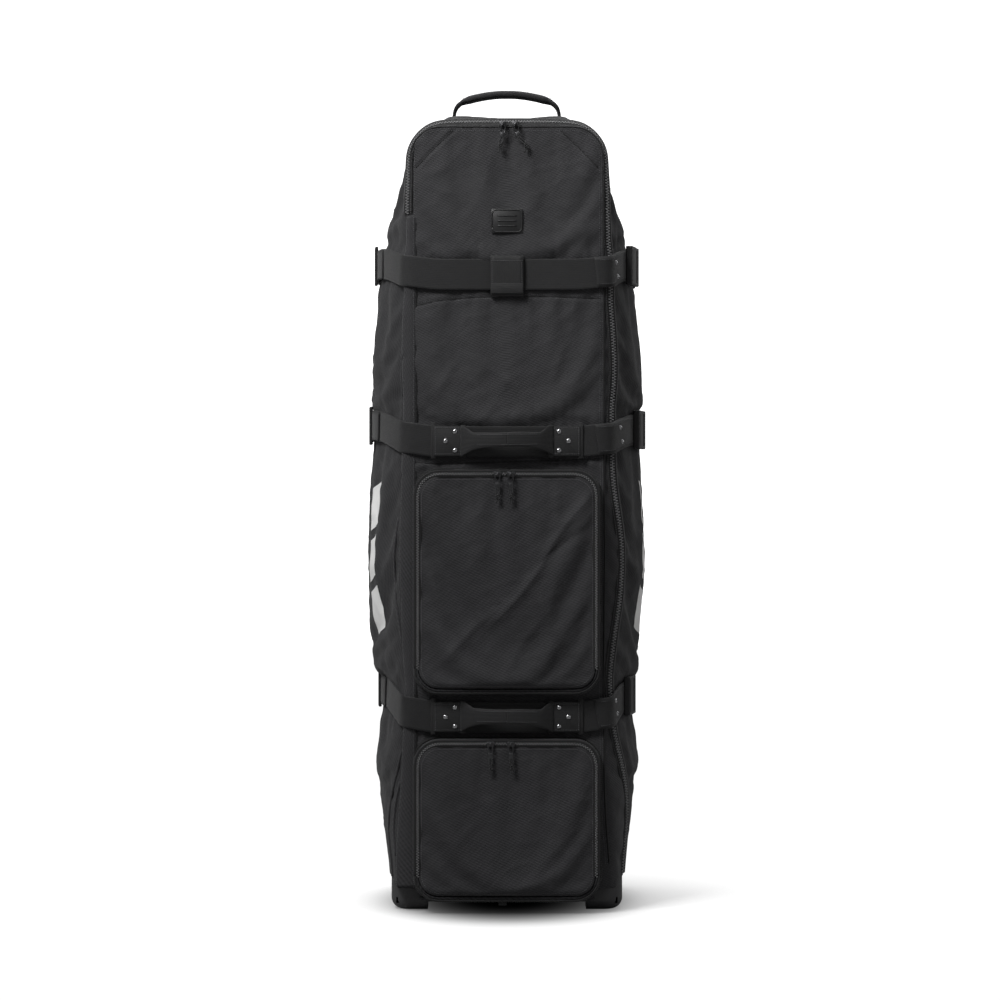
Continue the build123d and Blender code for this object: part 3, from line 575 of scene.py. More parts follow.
# ------------------------------------------------------------------ meshes of many small shapes
class Parts:
    """Collects many small shapes into one mesh."""

    def __init__(self):
        self.verts, self.faces, self.uvs, self.mats = [], [], [], []

    def add(self, verts, faces, uvs=None, mat=0):
        base = len(self.verts)
        self.verts += [tuple(p) for p in verts]
        self.faces += [tuple(base + i for i in face) for face in faces]
        self.uvs += list(uvs) if uvs is not None else [(p[0] / 1000, p[2] / 1000)
                                                       for p in verts]
        self.mats += [mat] * len(faces)

    def tube(self, points, radius, sides=8, mat=0):
        """Round capped tube along points."""
        points = np.asarray(points, float)
        along = tangents(points)
        start = np.array([0.3, -1, 0.2])
        normal = start - along[0] * (start @ along[0])
        normal = normal / np.linalg.norm(normal)
        verts, uvs = [], []
        length = 0
        for i in range(len(points)):
            if i:
                normal = normal - along[i] * (normal @ along[i])
                normal = normal / (np.linalg.norm(normal) + 1e-12)
                length += np.linalg.norm(points[i] - points[i - 1])
            across = np.cross(along[i], normal)
            for k in range(sides):
                a = 2 * math.pi * k / sides
                verts.append(points[i] + radius * (normal * math.cos(a) + across * math.sin(a)))
                uvs.append((length / 1000, a * radius / 1000))
        self.add(verts, tube_faces(len(points), sides), uvs, mat)

    def box(self, centre, size, bevel=0.0, axes=np.eye(3), mat=0):
        """Box; with a bevel its outline is rounded in the plane of axes 0 and 2."""
        centre = np.asarray(centre, float)
        ax, ay, az = (np.asarray(axis, float) for axis in axes)
        sx, sy, sz = size
        b = min(bevel, sx / 2.01, sy / 2.01, sz / 2.01)
        if b <= 0:
            verts = [centre + ax * sx / 2 * i + ay * sy / 2 * j + az * sz / 2 * k
                     for k in (-1, 1) for j in (-1, 1) for i in (-1, 1)]
            faces = [(0, 2, 3, 1), (4, 5, 7, 6), (0, 1, 5, 4),
                     (2, 6, 7, 3), (0, 4, 6, 2), (1, 3, 7, 5)]
            self.add(verts, faces, mat=mat)
            return
        outline = []
        for i, k, start in ((1, 1, 0), (-1, 1, 90), (-1, -1, 180), (1, -1, 270)):
            for step in range(5):
                a = math.radians(start + 90 * step / 4)
                outline.append((i * (sx / 2 - b), k * (sz / 2 - b), math.cos(a), math.sin(a)))
        e = min(b, sy / 2) * 0.6
        rings = [(-sy / 2, b - e), (-sy / 2 + e * 0.4, b - e * 0.25), (-sy / 2 + e, b),
                 (sy / 2 - e, b), (sy / 2 - e * 0.4, b - e * 0.25), (sy / 2, b - e)]
        verts = [centre + ax * (cx + ca * radius) + ay * y + az * (cz + sa * radius)
                 for y, radius in rings for cx, cz, ca, sa in outline]
        self.add(verts, tube_faces(len(rings), len(outline), flip=True), mat=mat)

    def dome(self, centre, radius, height, normal, sides=16):
        centre, normal = np.asarray(centre, float), unit(normal)
        ref = np.array([0, 0, 1.0]) if abs(normal[2]) < 0.9 else np.array([1.0, 0, 0])
        ax = unit(np.cross(normal, ref))
        ay = np.cross(normal, ax)
        # share of the radius, share of the height
        rings = [(1.0, -0.3), (1.0, 0.0), (0.93, 0.28), (0.78, 0.55),
                 (0.55, 0.80), (0.28, 0.95), (0.06, 1.0)]
        verts = []
        for wide, high in rings:
            for k in range(sides):
                a = 2 * math.pi * k / sides
                verts.append(centre + ax * radius * wide * math.cos(a)
                             + ay * radius * wide * math.sin(a) + normal * height * high)
        faces = grid_faces(len(rings), sides, closed=True)
        faces.append(tuple((len(rings) - 1) * sides + k for k in range(sides)))
        self.add(verts, faces)

    def stitch(self, points, normals, pitch=3.2, length=2.4, radius=0.42, side=0.0, lift=0.15,
               mat=1):
        """Row of sewn stitches; normals may be one vector for the whole row."""
        points = np.asarray(points, float)
        normals = np.broadcast_to(np.asarray(normals, float), points.shape)
        points = points + np.cross(normals, tangents(points)) * side + normals * lift
        points, normals = resample_pair(points, normals, pitch)
        along = tangents(points)
        for p, n, t in zip(points, normals, along):
            start = p - t * length / 2 - n * 0.25
            end = p + t * length / 2 - n * 0.25
            middle = p + n * radius * 0.5
            side_step = np.cross(n, t) * radius
            up = n * radius * 0.9
            back, ahead = middle - t * length * 0.25, middle + t * length * 0.25
            verts = [start, back + side_step, back + up, back - side_step,
                     ahead + side_step, ahead + up, ahead - side_step, end]
            faces = [(0, 1, 2), (0, 2, 3), (1, 4, 5, 2), (2, 5, 6, 3), (4, 7, 5), (5, 7, 6)]
            self.add(verts, faces, mat=mat)

    def ribbon(self, points, normals, width, thick, across=9, crown=0.0, edge=0.0, lift=0.0,
               wave=None):
        """Flat closed band; UV runs along and across it in metres."""
        points = np.asarray(points, float)
        normals = unit(np.broadcast_to(np.asarray(normals, float), points.shape))
        sideways = unit(np.cross(normals, tangents(points)))
        count = len(points)
        widths = np.full(count, width) if np.isscalar(width) else np.asarray(width, float)
        run = np.linalg.norm(np.diff(points, axis=0), axis=1)
        run = np.concatenate([[0], np.cumsum(run)])
        steps = [-1 + 2 * k / (across - 1) for k in range(across)]
        section = [(s, True) for s in steps] + [(s, False) for s in steps[::-1]]
        verts, uvs = [], []
        for i in range(count):
            for s, outer in section:
                height = lift + crown * (1 - s * s)
                if outer:
                    height += thick + edge * (abs(s) > 0.8)
                if wave is not None:
                    height += wave(run[i], s)
                reach = widths[i] / 2 * s
                verts.append(points[i] + sideways[i] * reach * (1 if outer else 0.995)
                             + normals[i] * height)
                uvs.append((run[i] / 1000, reach / 1000))
        self.add(verts, tube_faces(count, len(section), flip=True), uvs)

    def teeth(self, points, normals, half, pitch, lift):
        """Coil of a zip: a row of small blocks on each side of the path."""
        points, normals = resample_pair(points, normals, pitch)
        along = tangents(points)
        across = np.cross(normals, along)
        for p, n, t, b in zip(points, normals, along, across):
            for side in (-1, 1):
                centre = p + b * half * 0.52 * side + n * lift + t * (pitch * 0.25 * side)
                self.box(centre, (half * 1.15, 1.5, pitch * 0.44), axes=(b, n, t), mat=1)

    def build(self, name, mats):
        return mesh_object(name, self.verts, self.faces, mats, self.mats, self.uvs)


# ------------------------------------------------------------------ body surface
CURVE_Z = np.arange(0, 1301, 2.0)


def gaussian(steps):
    kernel = np.exp(-0.5 * steps ** 2)
    return kernel / kernel.sum()


def smooth_curve(stations, sigma):
    """Values at CURVE_Z from (z, value) stations, blurred over sigma mm."""
    zs, values = zip(*stations)
    values = np.interp(CURVE_Z, zs, values)
    kernel = gaussian(np.arange(-40, 41) * 2.0 / sigma)
    return np.convolve(np.pad(values, 40, mode="edge"), kernel, mode="valid")


WALL_WIDTH = smooth_curve(WALL_HALF_WIDTHS, 9)
WALL_EXPONENT = smooth_curve(WALL_EXPONENTS, 14)
ZIP_X = smooth_curve(ZIP_STATIONS, 7)


def strap_side_z(strap, side, y):
    """Height of a strap on a side wall: it climbs from the front corner to the buckle."""
    top = strap.left_z if side < 0 else strap.right_z
    end_y = -15.0 if side < 0 else strap.buckle_y - 10.0
    t = float(np.clip((y + 152.0) / (end_y + 152.0), 0, 1))
    return strap.front_z + (top - strap.front_z) * (0.22 + 0.78 * (1 - (1 - t) ** 2.2))


def strap_front_z(strap, x):
    rise = (strap.left_z if x < 0 else strap.right_z) - strap.front_z
    return strap.front_z + rise * 0.22 * float(np.clip((abs(x) - 100) / 52, 0, 1)) ** 1.7


def strap_distance(x, y, z):
    """Height from a point of a side wall to the nearest strap."""
    side = -1 if x < 0 else 1
    return min(abs(z - strap_side_z(strap, side, y)) for strap in STRAPS.values())


def circle_through(a, b, c):
    """Centre and radius of the circle through three plane points."""
    ax, ay, bx, by, cx, cy = *a, *b, *c
    d = 2 * (ax * (by - cy) + bx * (cy - ay) + cx * (ay - by))
    a2, b2, c2 = ax * ax + ay * ay, bx * bx + by * by, cx * cx + cy * cy
    ux = (a2 * (by - cy) + b2 * (cy - ay) + c2 * (ay - by)) / d
    uy = (a2 * (cx - bx) + b2 * (ax - cx) + c2 * (bx - ax)) / d
    return ux, uy, math.hypot(ax - ux, ay - uy)


def ring_x(half_width, y):
    """Half width of a strap's ring in plan: one arc forward of y = 60, another behind."""
    w = half_width
    if y < 60:
        ux, uy, r = circle_through((158, FRONT_Y), (158 + 0.8 * (w - 158), -45), (w, 60))
    else:
        ux, uy, r = circle_through((w, 60), (w - 14, 146), (150, BACK_Y))
    return ux + math.sqrt(max(r * r - (y - uy) ** 2, 0))


RING_Y = np.linspace(FRONT_Y, BACK_Y, 169)
RINGS = [(strap, np.array([ring_x(strap.half_width, y) for y in RING_Y]))
         for strap in STRAPS.values()]


def fullness(s, exponent):
    """Bulge of the case over its depth s (0 front, 1 back), 1 at MID_S."""
    return (np.sin(np.pi * np.clip(s, 0, 1)) ** exponent
            / math.sin(MID_S * math.pi) ** exponent)


def side_point(front_z, s, side):
    """Point of a side wall; front_z is its height at the front edge."""
    z_low = 38 + 14 * smoothstep(s / 0.10)
    z_high = FRONT_ARC_Z - (FRONT_ARC_Z - BACK_ARC_Z) * s
    z = z_low + (front_z - BASE_Z) / WALL_H * (z_high - z_low)
    exponent = np.interp(z, CURVE_Z, WALL_EXPONENT)
    width = np.interp(z, CURVE_Z, WALL_WIDTH)
    taper = FRONT_HALF - BACK_HALF
    x = (FRONT_HALF - taper * s
         + (width - (FRONT_HALF - taper * MID_S)) * fullness(s, exponent))
    y = FRONT_Y + DEPTH * s
    for strap, ring in RINGS:                # the straps pull the wall in
        pull = math.exp(-(abs(z - strap_side_z(strap, side, y)) / 27.0) ** 4)
        held_x = np.interp(y, RING_Y, ring) + 3.6
        x = x + (held_x - x) * pull * smoothstep(s / 0.03) * smoothstep((1 - s) / 0.12)
    return np.array([side * x, y, z])


def arch_point(front, back, middle, s):
    """Point of the crown between (x, z) at the front, at MID_S and at the back."""
    straight = front + (back - front) * s
    q = straight + (middle - (front + (back - front) * MID_S)) * fullness(s, 0.78)
    return np.array([q[0], FRONT_Y + DEPTH * s, q[1]])


def corner_map(u, v):
    """Unit square to unit disc, for meshing a rounded corner."""
    return u * math.sqrt(1 - v * v / 2), v * math.sqrt(1 - u * u / 2)


def outline_columns():
    """Columns round the case from lower left over the top to lower right.

    Each is (kind, side, value); value is the front height on a side, the angle in degrees
    from the top at a corner, and x on the top.
    """
    n = CORNER_CELLS
    angles = []
    for k in range(1, 2 * n):
        u, v = (1.0, k / n) if k <= n else ((2 * n - k) / n, 1.0)
        angles.append(math.degrees(math.atan2(*corner_map(u, v))))
    heights = [BASE_Z + WALL_H * i / SIDE_CELLS for i in range(SIDE_CELLS + 1)]
    top = [-FRONT_FLAT + 2.0 * FRONT_FLAT * i / TOP_CELLS for i in range(TOP_CELLS + 1)]
    return ([("side", -1, z) for z in heights] + [("corner", -1, a) for a in angles]
            + [("top", 0, x) for x in top] + [("corner", 1, a) for a in angles[::-1]]
            + [("side", 1, z) for z in heights[::-1]])


COLUMNS = outline_columns()
COLUMN_COUNT = len(COLUMNS)
# Corner of the crown at MID_S: angle from the top, x, z
CORNER_CREST = ([0, 22, 45, 67, 90], [106, 131, 154, 169, 178.5], [1267, 1250, 1215, 1184, 1156.2])
# Top of the crown at MID_S: distance from the middle, z
TOP_CREST = ([0, 60, 90, 106], [1278, 1277, 1273, 1267])


def wall_point(column, s):
    kind, side, value = column
    if kind == "side":
        return side_point(value, s, side)
    if kind == "corner":
        a = math.radians(value)
        front = np.array([FRONT_FLAT + FRONT_R * math.sin(a), FRONT_ARC_Z + FRONT_R * math.cos(a)])
        back = np.array([BACK_FLAT + BACK_R * math.sin(a), BACK_ARC_Z + BACK_R * math.cos(a)])
        angles, xs, zs = CORNER_CREST
        middle = np.array([np.interp(value, angles, xs), np.interp(value, angles, zs)])
        q = arch_point(front, back, middle, s)
        q[0] *= side
        return q
    x = value
    return arch_point(np.array([x, float(FRONT_TOP)]),
                      np.array([x * BACK_FLAT / FRONT_FLAT, float(BACK_TOP)]),
                      np.array([x, np.interp(abs(x), *TOP_CREST)]), s)


def zip_depths():
    """Depth s of the main zip on every column, blurred along the outline."""
    depths = []
    tries = np.linspace(0.004, 0.5, 249)
    for column in COLUMNS:
        kind, side, value = column
        if kind == "side" and side > 0:
            reached = np.array([wall_point(column, s)[0] for s in tries]) >= np.interp(
                value, CURVE_Z, ZIP_X)
            i = int(np.argmax(reached)) if reached.any() else len(tries) // 4
            depths.append(max(tries[i], 0.022))
        else:
            depths.append(0.014 if kind == "side" else 0.026)
    kernel = gaussian(np.arange(-8, 9) / 2.6)
    return np.convolve(np.pad(np.array(depths), 8, mode="edge"), kernel, mode="valid")


ZIP_S = zip_depths()


# ------------------------------------------------------------------ case
def wall_pins(band):
    """Cloth pins of the wall: its edges, under the straps, the base, the carry handle feet."""
    pin = np.full((COLUMN_COUNT, WALL_ROWS), 0.03)
    for j, column in enumerate(COLUMNS):
        for k in range(WALL_ROWS):
            x, y, z = band[j, k]
            if k in (0, WALL_ROWS - 1) or j in (0, COLUMN_COUNT - 1):
                pin[j, k] = 1
            elif column[0] == "side":
                if strap_distance(x, y, z) < 22 and y < 120:
                    pin[j, k] = 1
                elif z < 260:
                    pin[j, k] = 0.03 + 0.97 * (1 - float(smoothstep((z - 80) / 180)))
            elif abs(abs(x) - 86) < 12 and abs(y - 8) < 20:
                pin[j, k] = 1
    return pin.ravel()


def wrinkle_wall(wall):
    """Gathers beside the straps, upright ripples and creases on the side walls."""
    points = get_points(wall)
    near = np.array([strap_distance(*p) for p in points])
    amount = np.zeros(len(points))
    for i, (x, y, z) in enumerate(points):
        if z < 1180:
            d = near[i]
            gather = (math.exp(-max(d - 20, 0) / 34.0) * (1 if d > 20 else 0.0)
                      * min((d - 20) / 8.0, 1) * min((BACK_Y - y) / 40, 1))
            seed = 3.0 if x < 0 else 8.0
            amount[i] += 2.6 * gather * noise_at(y / 13.0, z / 70.0, seed)
            amount[i] += (1.5 * noise_at(y / 24.0, z / 95.0, seed + 10.0)
                          * min((y + 150) / 30, 1) * min(max(d - 24, 0) / 20, 1))
    x, y, z = points.T
    mask = fade(1190 - z, 30) * fade(y + 146, 24) * fade(182 - y, 30) * fade(z - 60, 60)
    mask *= fade(near - 24, 16)
    amount += 1.7 * mask * crinkle(y * 1.25 + np.where(x > 0, 0, 300), z * 1.25, 5.2)
    displace(wall, amount)
    fine_noise(wall, 0.45, 15)


def build_wall():
    """Left wall, crown and right wall as one band from the zip to the back edge."""
    t = np.linspace(0, 1, WALL_ROWS)
    tau = (1 - np.cos(np.pi * t)) / 2 * 0.55 + t * 0.45
    band = np.zeros((COLUMN_COUNT, WALL_ROWS, 3))
    for j, column in enumerate(COLUMNS):
        for k in range(WALL_ROWS):
            s = ZIP_S[j] + 0.004 + (1 - ZIP_S[j] - 0.004) * tau[k]
            band[j, k] = wall_point(column, s)
    wall = grid_object("case_wall", band, [SIDE, LINING])
    pin = wall_pins(band)
    orient(wall, (COLUMN_COUNT // 2) * WALL_ROWS + WALL_ROWS // 2, Z_AXIS)
    rough = np.array([noise_at(p[0] / 40, p[1] / 34, p[2] / 26) for p in get_points(wall)])
    displace(wall, rough * 1.6 * (pin < 0.5))
    cloth(wall, pin, frames=22, pressure=0.32, grow=0.020, bend=0.35, tension=9, gravity=0.35)
    subdivide(wall, 1)
    wrinkle_wall(wall)
    surface = surface_of(wall)
    solidify(wall, 4.0, inner=1)
    return wall, surface


def build_back():
    """Back wall, sewn down along the middle and three level lines."""
    columns, rows, bottom = 26, 96, 68
    grid = np.zeros((columns + 1, rows + 1, 3))
    pin = np.zeros((columns + 1, rows + 1)) + 0.02
    for i in range(columns + 1):
        for k in range(rows + 1):
            z = bottom + k / rows * (BACK_TOP - bottom)
            half = float(BACK_HALF)
            if z > BACK_ARC_Z:
                half = BACK_FLAT + math.sqrt(max(BACK_R ** 2 - (z - BACK_ARC_Z) ** 2, 0))
            x = (-1 + 2 * (i / columns)) * half
            grid[i, k] = (x, BACK_Y - 0.4, z)
            if (z < 310 or abs(x) < 5 or abs(z - 560) < 7 or abs(z - 820) < 7
                    or abs(z - 1070) < 6):
                pin[i, k] = 1
    pin[0, :] = pin[-1, :] = pin[:, 0] = pin[:, -1] = 1
    back = grid_object("case_back", grid, [SIDE, LINING])
    orient(back, rows * 10 + 40, (0, 1, 0))
    cloth(back, pin.ravel(), frames=18, pressure=0.9, grow=0.02, bend=0.6, tension=10,
          gravity=0.5)
    subdivide(back, 1)
    solidify(back, 4.0, inner=1)
    return back


# ------------------------------------------------------------------ door
DOOR_COLUMNS, DOOR_ROWS = CORNER_CELLS * 2 + TOP_CELLS, SIDE_CELLS + CORNER_CELLS


def door_grid():
    """Flat front of the door with rounded top corners and soft fullness between straps."""
    n = CORNER_CELLS
    grid = np.zeros((DOOR_COLUMNS + 1, DOOR_ROWS + 1, 3))
    for i in range(DOOR_COLUMNS + 1):
        if i <= n:
            u, side = (n - i) / n, -1
        elif i >= n + TOP_CELLS:
            u, side = (i - n - TOP_CELLS) / n, 1
        else:
            u, side = 0, 0
        middle_x = -FRONT_FLAT + 2.0 * FRONT_FLAT * (i - n) / TOP_CELLS
        for k in range(DOOR_ROWS + 1):
            if k <= SIDE_CELLS:
                z = BASE_Z + WALL_H * k / SIDE_CELLS
                x = middle_x if side == 0 else side * (FRONT_FLAT + float(FRONT_R) * u)
            else:
                v = (k - SIDE_CELLS) / n
                if side == 0:
                    x, z = middle_x, FRONT_ARC_Z + float(FRONT_R) * v
                else:
                    cx, cz = corner_map(u, v)
                    x, z = side * (FRONT_FLAT + FRONT_R * cx), FRONT_ARC_Z + FRONT_R * cz
            # the lower corners are lifted
            z += 18 * float(smoothstep((abs(x) - 122) / 30)) * max(1 - (z - BASE_Z) / WALL_H, 0)
            bulge = 0
            if z > 1030:
                bulge = 5.0 * math.sin(math.pi * np.clip((z - 1030) / 215, 0, 1)) ** 0.7
            elif 775 < z < 985:
                bulge = 5.0 * math.sin(math.pi * (z - 775) / 210) ** 0.7
            grid[i, k] = (x, FRONT_Y - bulge * (1 - (abs(x) / 153) ** 4), z)
    return grid


def distance_to_line(x, z, line):
    best = 1e9
    for (x0, z0), (x1, z1) in zip(line[:-1], line[1:]):
        dx, dz = x1 - x0, z1 - z0
        t = np.clip(((x - x0) * dx + (z - z0) * dz) / (dx * dx + dz * dz), 0, 1)
        best = np.minimum(best, np.hypot(x - x0 - dx * t, z - z0 - dz * t))
    return best


def wrinkle_door(door):
    """Seam grooves, creases, gathers at the straps and puckers."""
    points = get_points(door)
    x, y, z = points.T                       # views: changing y changes points
    front = y < -143
    for line, depth in DOOR_SEAMS:
        d = distance_to_line(x, z, line)
        groove = depth * np.exp(-(d / 1.9) ** 2) - 0.5 * np.exp(-((d - 6) / 4) ** 2)
        y += np.where(front, groove, 0)
    edge = np.minimum(np.minimum(FRONT_HALF - np.abs(x), FRONT_TOP - z), 60)
    strap = np.min([np.abs(z - s.front_z) for s in STRAPS.values()], axis=0)
    mask = front * fade(edge, 25) * fade(strap - 22, 14)
    y -= crinkle(x, z, 21.7, 1.25) * mask
    y -= (crinkle(x * 2.1, z * 2.1, 8.4, 0.75) * mask
          * np.exp(-np.clip(strap - 30, 0, 300) / 42))
    y -= (crinkle(x * 1.9, z * 1.9, 2.6, 0.45) * mask
          * np.exp(-np.clip(edge - 14, 0, 60) / 22))
    gathers = np.array([noise_at(p[0] / 10.0, p[2] / 80.0, 31.0) for p in points])
    y -= (front * np.where(z < 770, 3.4, 2.1) * gathers
          * np.exp(-np.clip(strap - 22, 0, 200) / 24) * fade(strap - 18, 8) * fade(edge, 20))
    for x0, z0, angle, length, height in DOOR_PUCKERS:
        ca, sa = math.cos(math.radians(angle)), math.sin(math.radians(angle))
        u = (x - x0) * ca + (z - z0) * sa
        v = -(x - x0) * sa + (z - z0) * ca
        ridge = (height * np.exp(-(v / 7) ** 2)
                 * np.exp(-((u - length / 2) / (length / 2)) ** 4))
        y -= np.where(front, ridge, 0)
    set_points(door, points)
    fine_noise(door, 0.3, 13, 5.0)


def build_door():
    """Front panel and the shoulder that runs from its edge back to the zip."""
    stride = DOOR_ROWS + 1
    verts = door_grid().reshape(-1, 3).tolist()
    faces = [face[::-1] for face in grid_faces(DOOR_COLUMNS + 1, stride)]
    edge = ([(0, k) for k in range(stride)]
            + [(i, DOOR_ROWS) for i in range(1, DOOR_COLUMNS + 1)]
            + [(DOOR_COLUMNS, k) for k in range(DOOR_ROWS - 1, -1, -1)])
    rings = [[i * stride + k for i, k in edge]]
    for r in range(1, SHOULDER_ROWS + 1):
        rings.append(list(range(len(verts), len(verts) + COLUMN_COUNT)))
        for column, s in zip(COLUMNS, ZIP_S):
            verts.append(wall_point(column, s * (r / SHOULDER_ROWS) ** 1.5).tolist())
    for inner, outer in zip(rings[:-1], rings[1:]):
        for j in range(COLUMN_COUNT - 1):
            faces.append((inner[j], outer[j], outer[j + 1], inner[j + 1]))
    uvs = [(x / 1000 + (y + 150) / 1000 * (1 if x > 0 else -1), z / 1000) for x, y, z in verts]
    door = mesh_object("door_panel", verts, faces, [SHELL, LINING], uvs=uvs)
    recalculate_normals(door)
    orient(door, (DOOR_COLUMNS // 2) * stride + 60, FRONT)
    # pinned under the straps, behind the pockets, at both rings and along the bottom
    pin = np.full(len(verts), 0.02)
    for i, (x, y, z) in enumerate(verts):
        under_strap = any(abs(z - strap_front_z(s, x)) < 15 for s in STRAPS.values())
        if under_strap and abs(x) < 153:
            pin[i] = 1
        if (z < 275 or 345 < z < 700) and abs(x) < 150:
            pin[i] = 1
    pin[rings[0]] = pin[rings[-1]] = 1
    pin[[i * stride for i in range(DOOR_COLUMNS + 1)]] = 1
    rough = np.array([noise_at(p[0] / 46 + 3, p[2] / 30, 0.7) for p in get_points(door)])
    displace(door, rough * 1.5 * (pin < 0.5))
    cloth(door, pin, frames=22, pressure=0.35, grow=0.012, bend=1.2, tension=9, gravity=0.7)
    subdivide(door, 2)
    wrinkle_door(door)
    surface = surface_of(door)
    solidify(door, 4.0, inner=1)
    return door, surface


def build_door_seams(door_surface, zip_points, zip_normals):
    """Stitching and thin welts round the door, along its seams and beside the main zip."""
    threads, welts = Parts(), Parts()
    outline = np.array([wall_point(column, 0.0005) for column in COLUMNS])
    outline = resample(outline[4:-4], 4.0)
    along = tangents(outline)
    inward = np.stack([along[:, 2], np.zeros(len(along)), -along[:, 0]], axis=1)

    def edge_line(offset):
        return drape(door_surface, (outline + inward * offset)[:, [0, 2]])

    for offset in (2.5, 6.0):
        threads.stitch(*edge_line(offset), **LONG_STITCH, radius=0.38, mat=0)
    for line, _ in DOOR_SEAMS:
        points, normals = drape(door_surface, resample(line, 4.0))
        for side in (3.0, -3.0):
            threads.stitch(points, normals, side=side, **PANEL_STITCH, mat=0)
        welts.tube(points + normals * 0.1, 0.75, 6)
    points, normals = edge_line(0.2)
    welts.tube(points + normals * 0.3, 1.5)
    for side in (-7.6, 7.6):
        threads.stitch(zip_points, zip_normals, side=side, lift=1.9, **LONG_STITCH, mat=0)
    attach(threads.build("door_stitching", [THREAD]), "door", "shell_fabric")
    attach(welts.build("door_welt", [BINDING]), "door", "shell_fabric")


# ------------------------------------------------------------------ main zip
def main_zip_path(wall_surface, door_surface):
    """Points and normals of the zip, lifted clear of both cloths."""
    points, normals = [], []
    last = COLUMN_COUNT - 1
    for j, column in enumerate(COLUMNS):
        before = wall_point(column, max(ZIP_S[j] - 0.012, 0.001))
        behind = wall_point(column, ZIP_S[j] + 0.022)
        after, prior = min(j + 1, last), max(j - 1, 0)
        along = (wall_point(COLUMNS[after], ZIP_S[after])
                 - wall_point(COLUMNS[prior], ZIP_S[prior]))
        normal = unit(np.cross(behind - before, along))
        outward = np.array([before[0], -120.0, 0.0 if column[0] == "side" else 160.0])
        if np.dot(normal, outward) < 0:
            normal = -normal
        normal = unit(normal + np.array([0, -0.45, 0]))
        q = wall_point(column, ZIP_S[j])
        lift = 0.0
        for surface in (wall_surface, door_surface):
            for offset in (behind - q, before - q, np.zeros(3)):
                start = Vector(q + offset * 0.8 + normal * 30)
                hit, _, _, distance = surface.ray_cast(start, Vector(-normal), 60)
                if hit is not None:
                    lift = max(lift, 30 - distance)
        points.append(q + normal * min(lift, 7.0))
        normals.append(normal)
    points, normals = smooth_pair(points, normals, 6, 8)
    start = next(j for j in range(COLUMN_COUNT)
                 if COLUMNS[j][0] == "side" and points[j][2] > 1098)
    end = next(j for j in range(last, 0, -1) if points[j][2] > 24)
    return resample_pair(points[start:end], normals[start:end], 4.0)


def build_main_zip(points, normals):
    parts = Parts()
    parts.ribbon(points, normals, 19.0, 0.9, across=7, lift=0.5, crown=0.9)
    top = np.where(points[:, 2] > 1205)[0]
    first, end = top[0], top[-1] + 1
    # the coil is narrower over the top
    for span, half, lift in ((slice(None, first + 1), 3.3, 2.6), (slice(first, end), 1.9, 2.4),
                             (slice(end - 1, None), 3.3, 2.6)):
        parts.teeth(points[span], normals[span], half=half, pitch=4.6, lift=lift)
    return parts.build("main_zip", [TAPE, COIL])


# ------------------------------------------------------------------ seams of the case
def build_hinge(wall_surface):
    """Binding round the left front corner, with its piping."""
    heights = np.linspace(40, 1100, 266)
    wall_x = []
    for z in heights:
        hit = wall_surface.ray_cast(Vector((-400, -143.0, z)), Vector((1, 0, 0)))[0]
        wall_x.append(hit[0] if hit else -153)
    wall_x = smooth_points(np.array(wall_x)[:, None], 6)[:, 0]
    sections = []
    for x, z in zip(wall_x, heights):
        # fuller between z = 690 and z = 1100
        full = 0.30 + 0.70 * float(smoothstep((z - 690) / 16) * smoothstep((1100 - z) / 14))
        x = (min(x, -153.5) + 2.2 * math.exp(-((z - 876) / 5.0) ** 2)
             + 1.6 * math.exp(-((z - 690) / 5.0) ** 2))
        wobble = (0.5 * math.sin(z / 23.0) + 0.4 * math.sin(z / 9.1)) * 0.3
        sections.append([
            (x + 0.4 - 0.6 * full, -139.0, z), (x - 1.0 * full, -142.5, z),
            (x - 1.4 * full, -146.0, z), (x - 0.6 * full, -149.6 + wobble, z),
            (min(x + 3.0, -153.0), -151.6 - 0.9 * full + wobble, z),
            (-150.5, -151.4 - 1.0 * full, z), (-147.0, -151.2 - 0.8 * full, z),
            (-144.6, -150.9 - 0.4 * full, z), (-143.8, -149.6, z)])
    sections = np.array(sections)
    binding = grid_object("hinge_binding", sections, [SHELL])
    solidify(binding, 1.4, offset=0.0)
    piping = Parts()
    piping.tube(sections[:, 8] + np.array([0.6, -0.4, 0]), 1.3)
    piping.tube(sections[:, 1] + np.array([-0.2, -0.2, 0]), 1.4)
    piping.stitch(sections[:, 3] + np.array([-0.5, -0.9, 0]), (-0.3, -1.0, 0), **LONG_STITCH)
    piping.stitch(sections[:, 6] + np.array([0, -0.9, 0]), FRONT, **LONG_STITCH)
    return binding, piping.build("hinge_piping", [BINDING, THREAD])


def cast_row(surface, origins, direction, point_passes, normal_passes):
    """Casts parallel rays; returns smoothed hits and normals facing back."""
    points, normals = [], []
    for origin in origins:
        hit, normal, _, _ = surface.ray_cast(Vector(origin), Vector(direction))
        if hit is not None:
            points.append(hit)
            normals.append(facing(normal, direction))
    return smooth_pair(points, normals, point_passes, normal_passes)


def build_left_seam(wall_surface):
    """Pair of seams on the left wall that mirrors the zip, broken at the straps."""
    parts = Parts()
    for low, high in ((385, 735), (30, 300), (815, 1000)):
        for inset in (0.0, 8.5):
            origins = [(min(-float(np.interp(z, CURVE_Z, ZIP_X)) + 3 + inset, -156.5),
                        CAST_START_Y, z) for z in np.arange(low, high, 6.0)]
            points, normals = resample_pair(
                *cast_row(wall_surface, origins, (0, 1, 0), 4, 6), 4)
            parts.tube(points + normals * 0.4, 2.4)
            # dark binding tube beside the seam: painted shade of the seam's crease
            parts.tube(points + normals * 0.5 + np.array([3.4, 0, 0]), 1.1, mat=2)
            parts.stitch(points, normals, side=3.2, **LONG_STITCH)
    attach(parts.build("left_wall_seam", [SHELL, THREAD, BINDING]), "case", "shell_fabric")


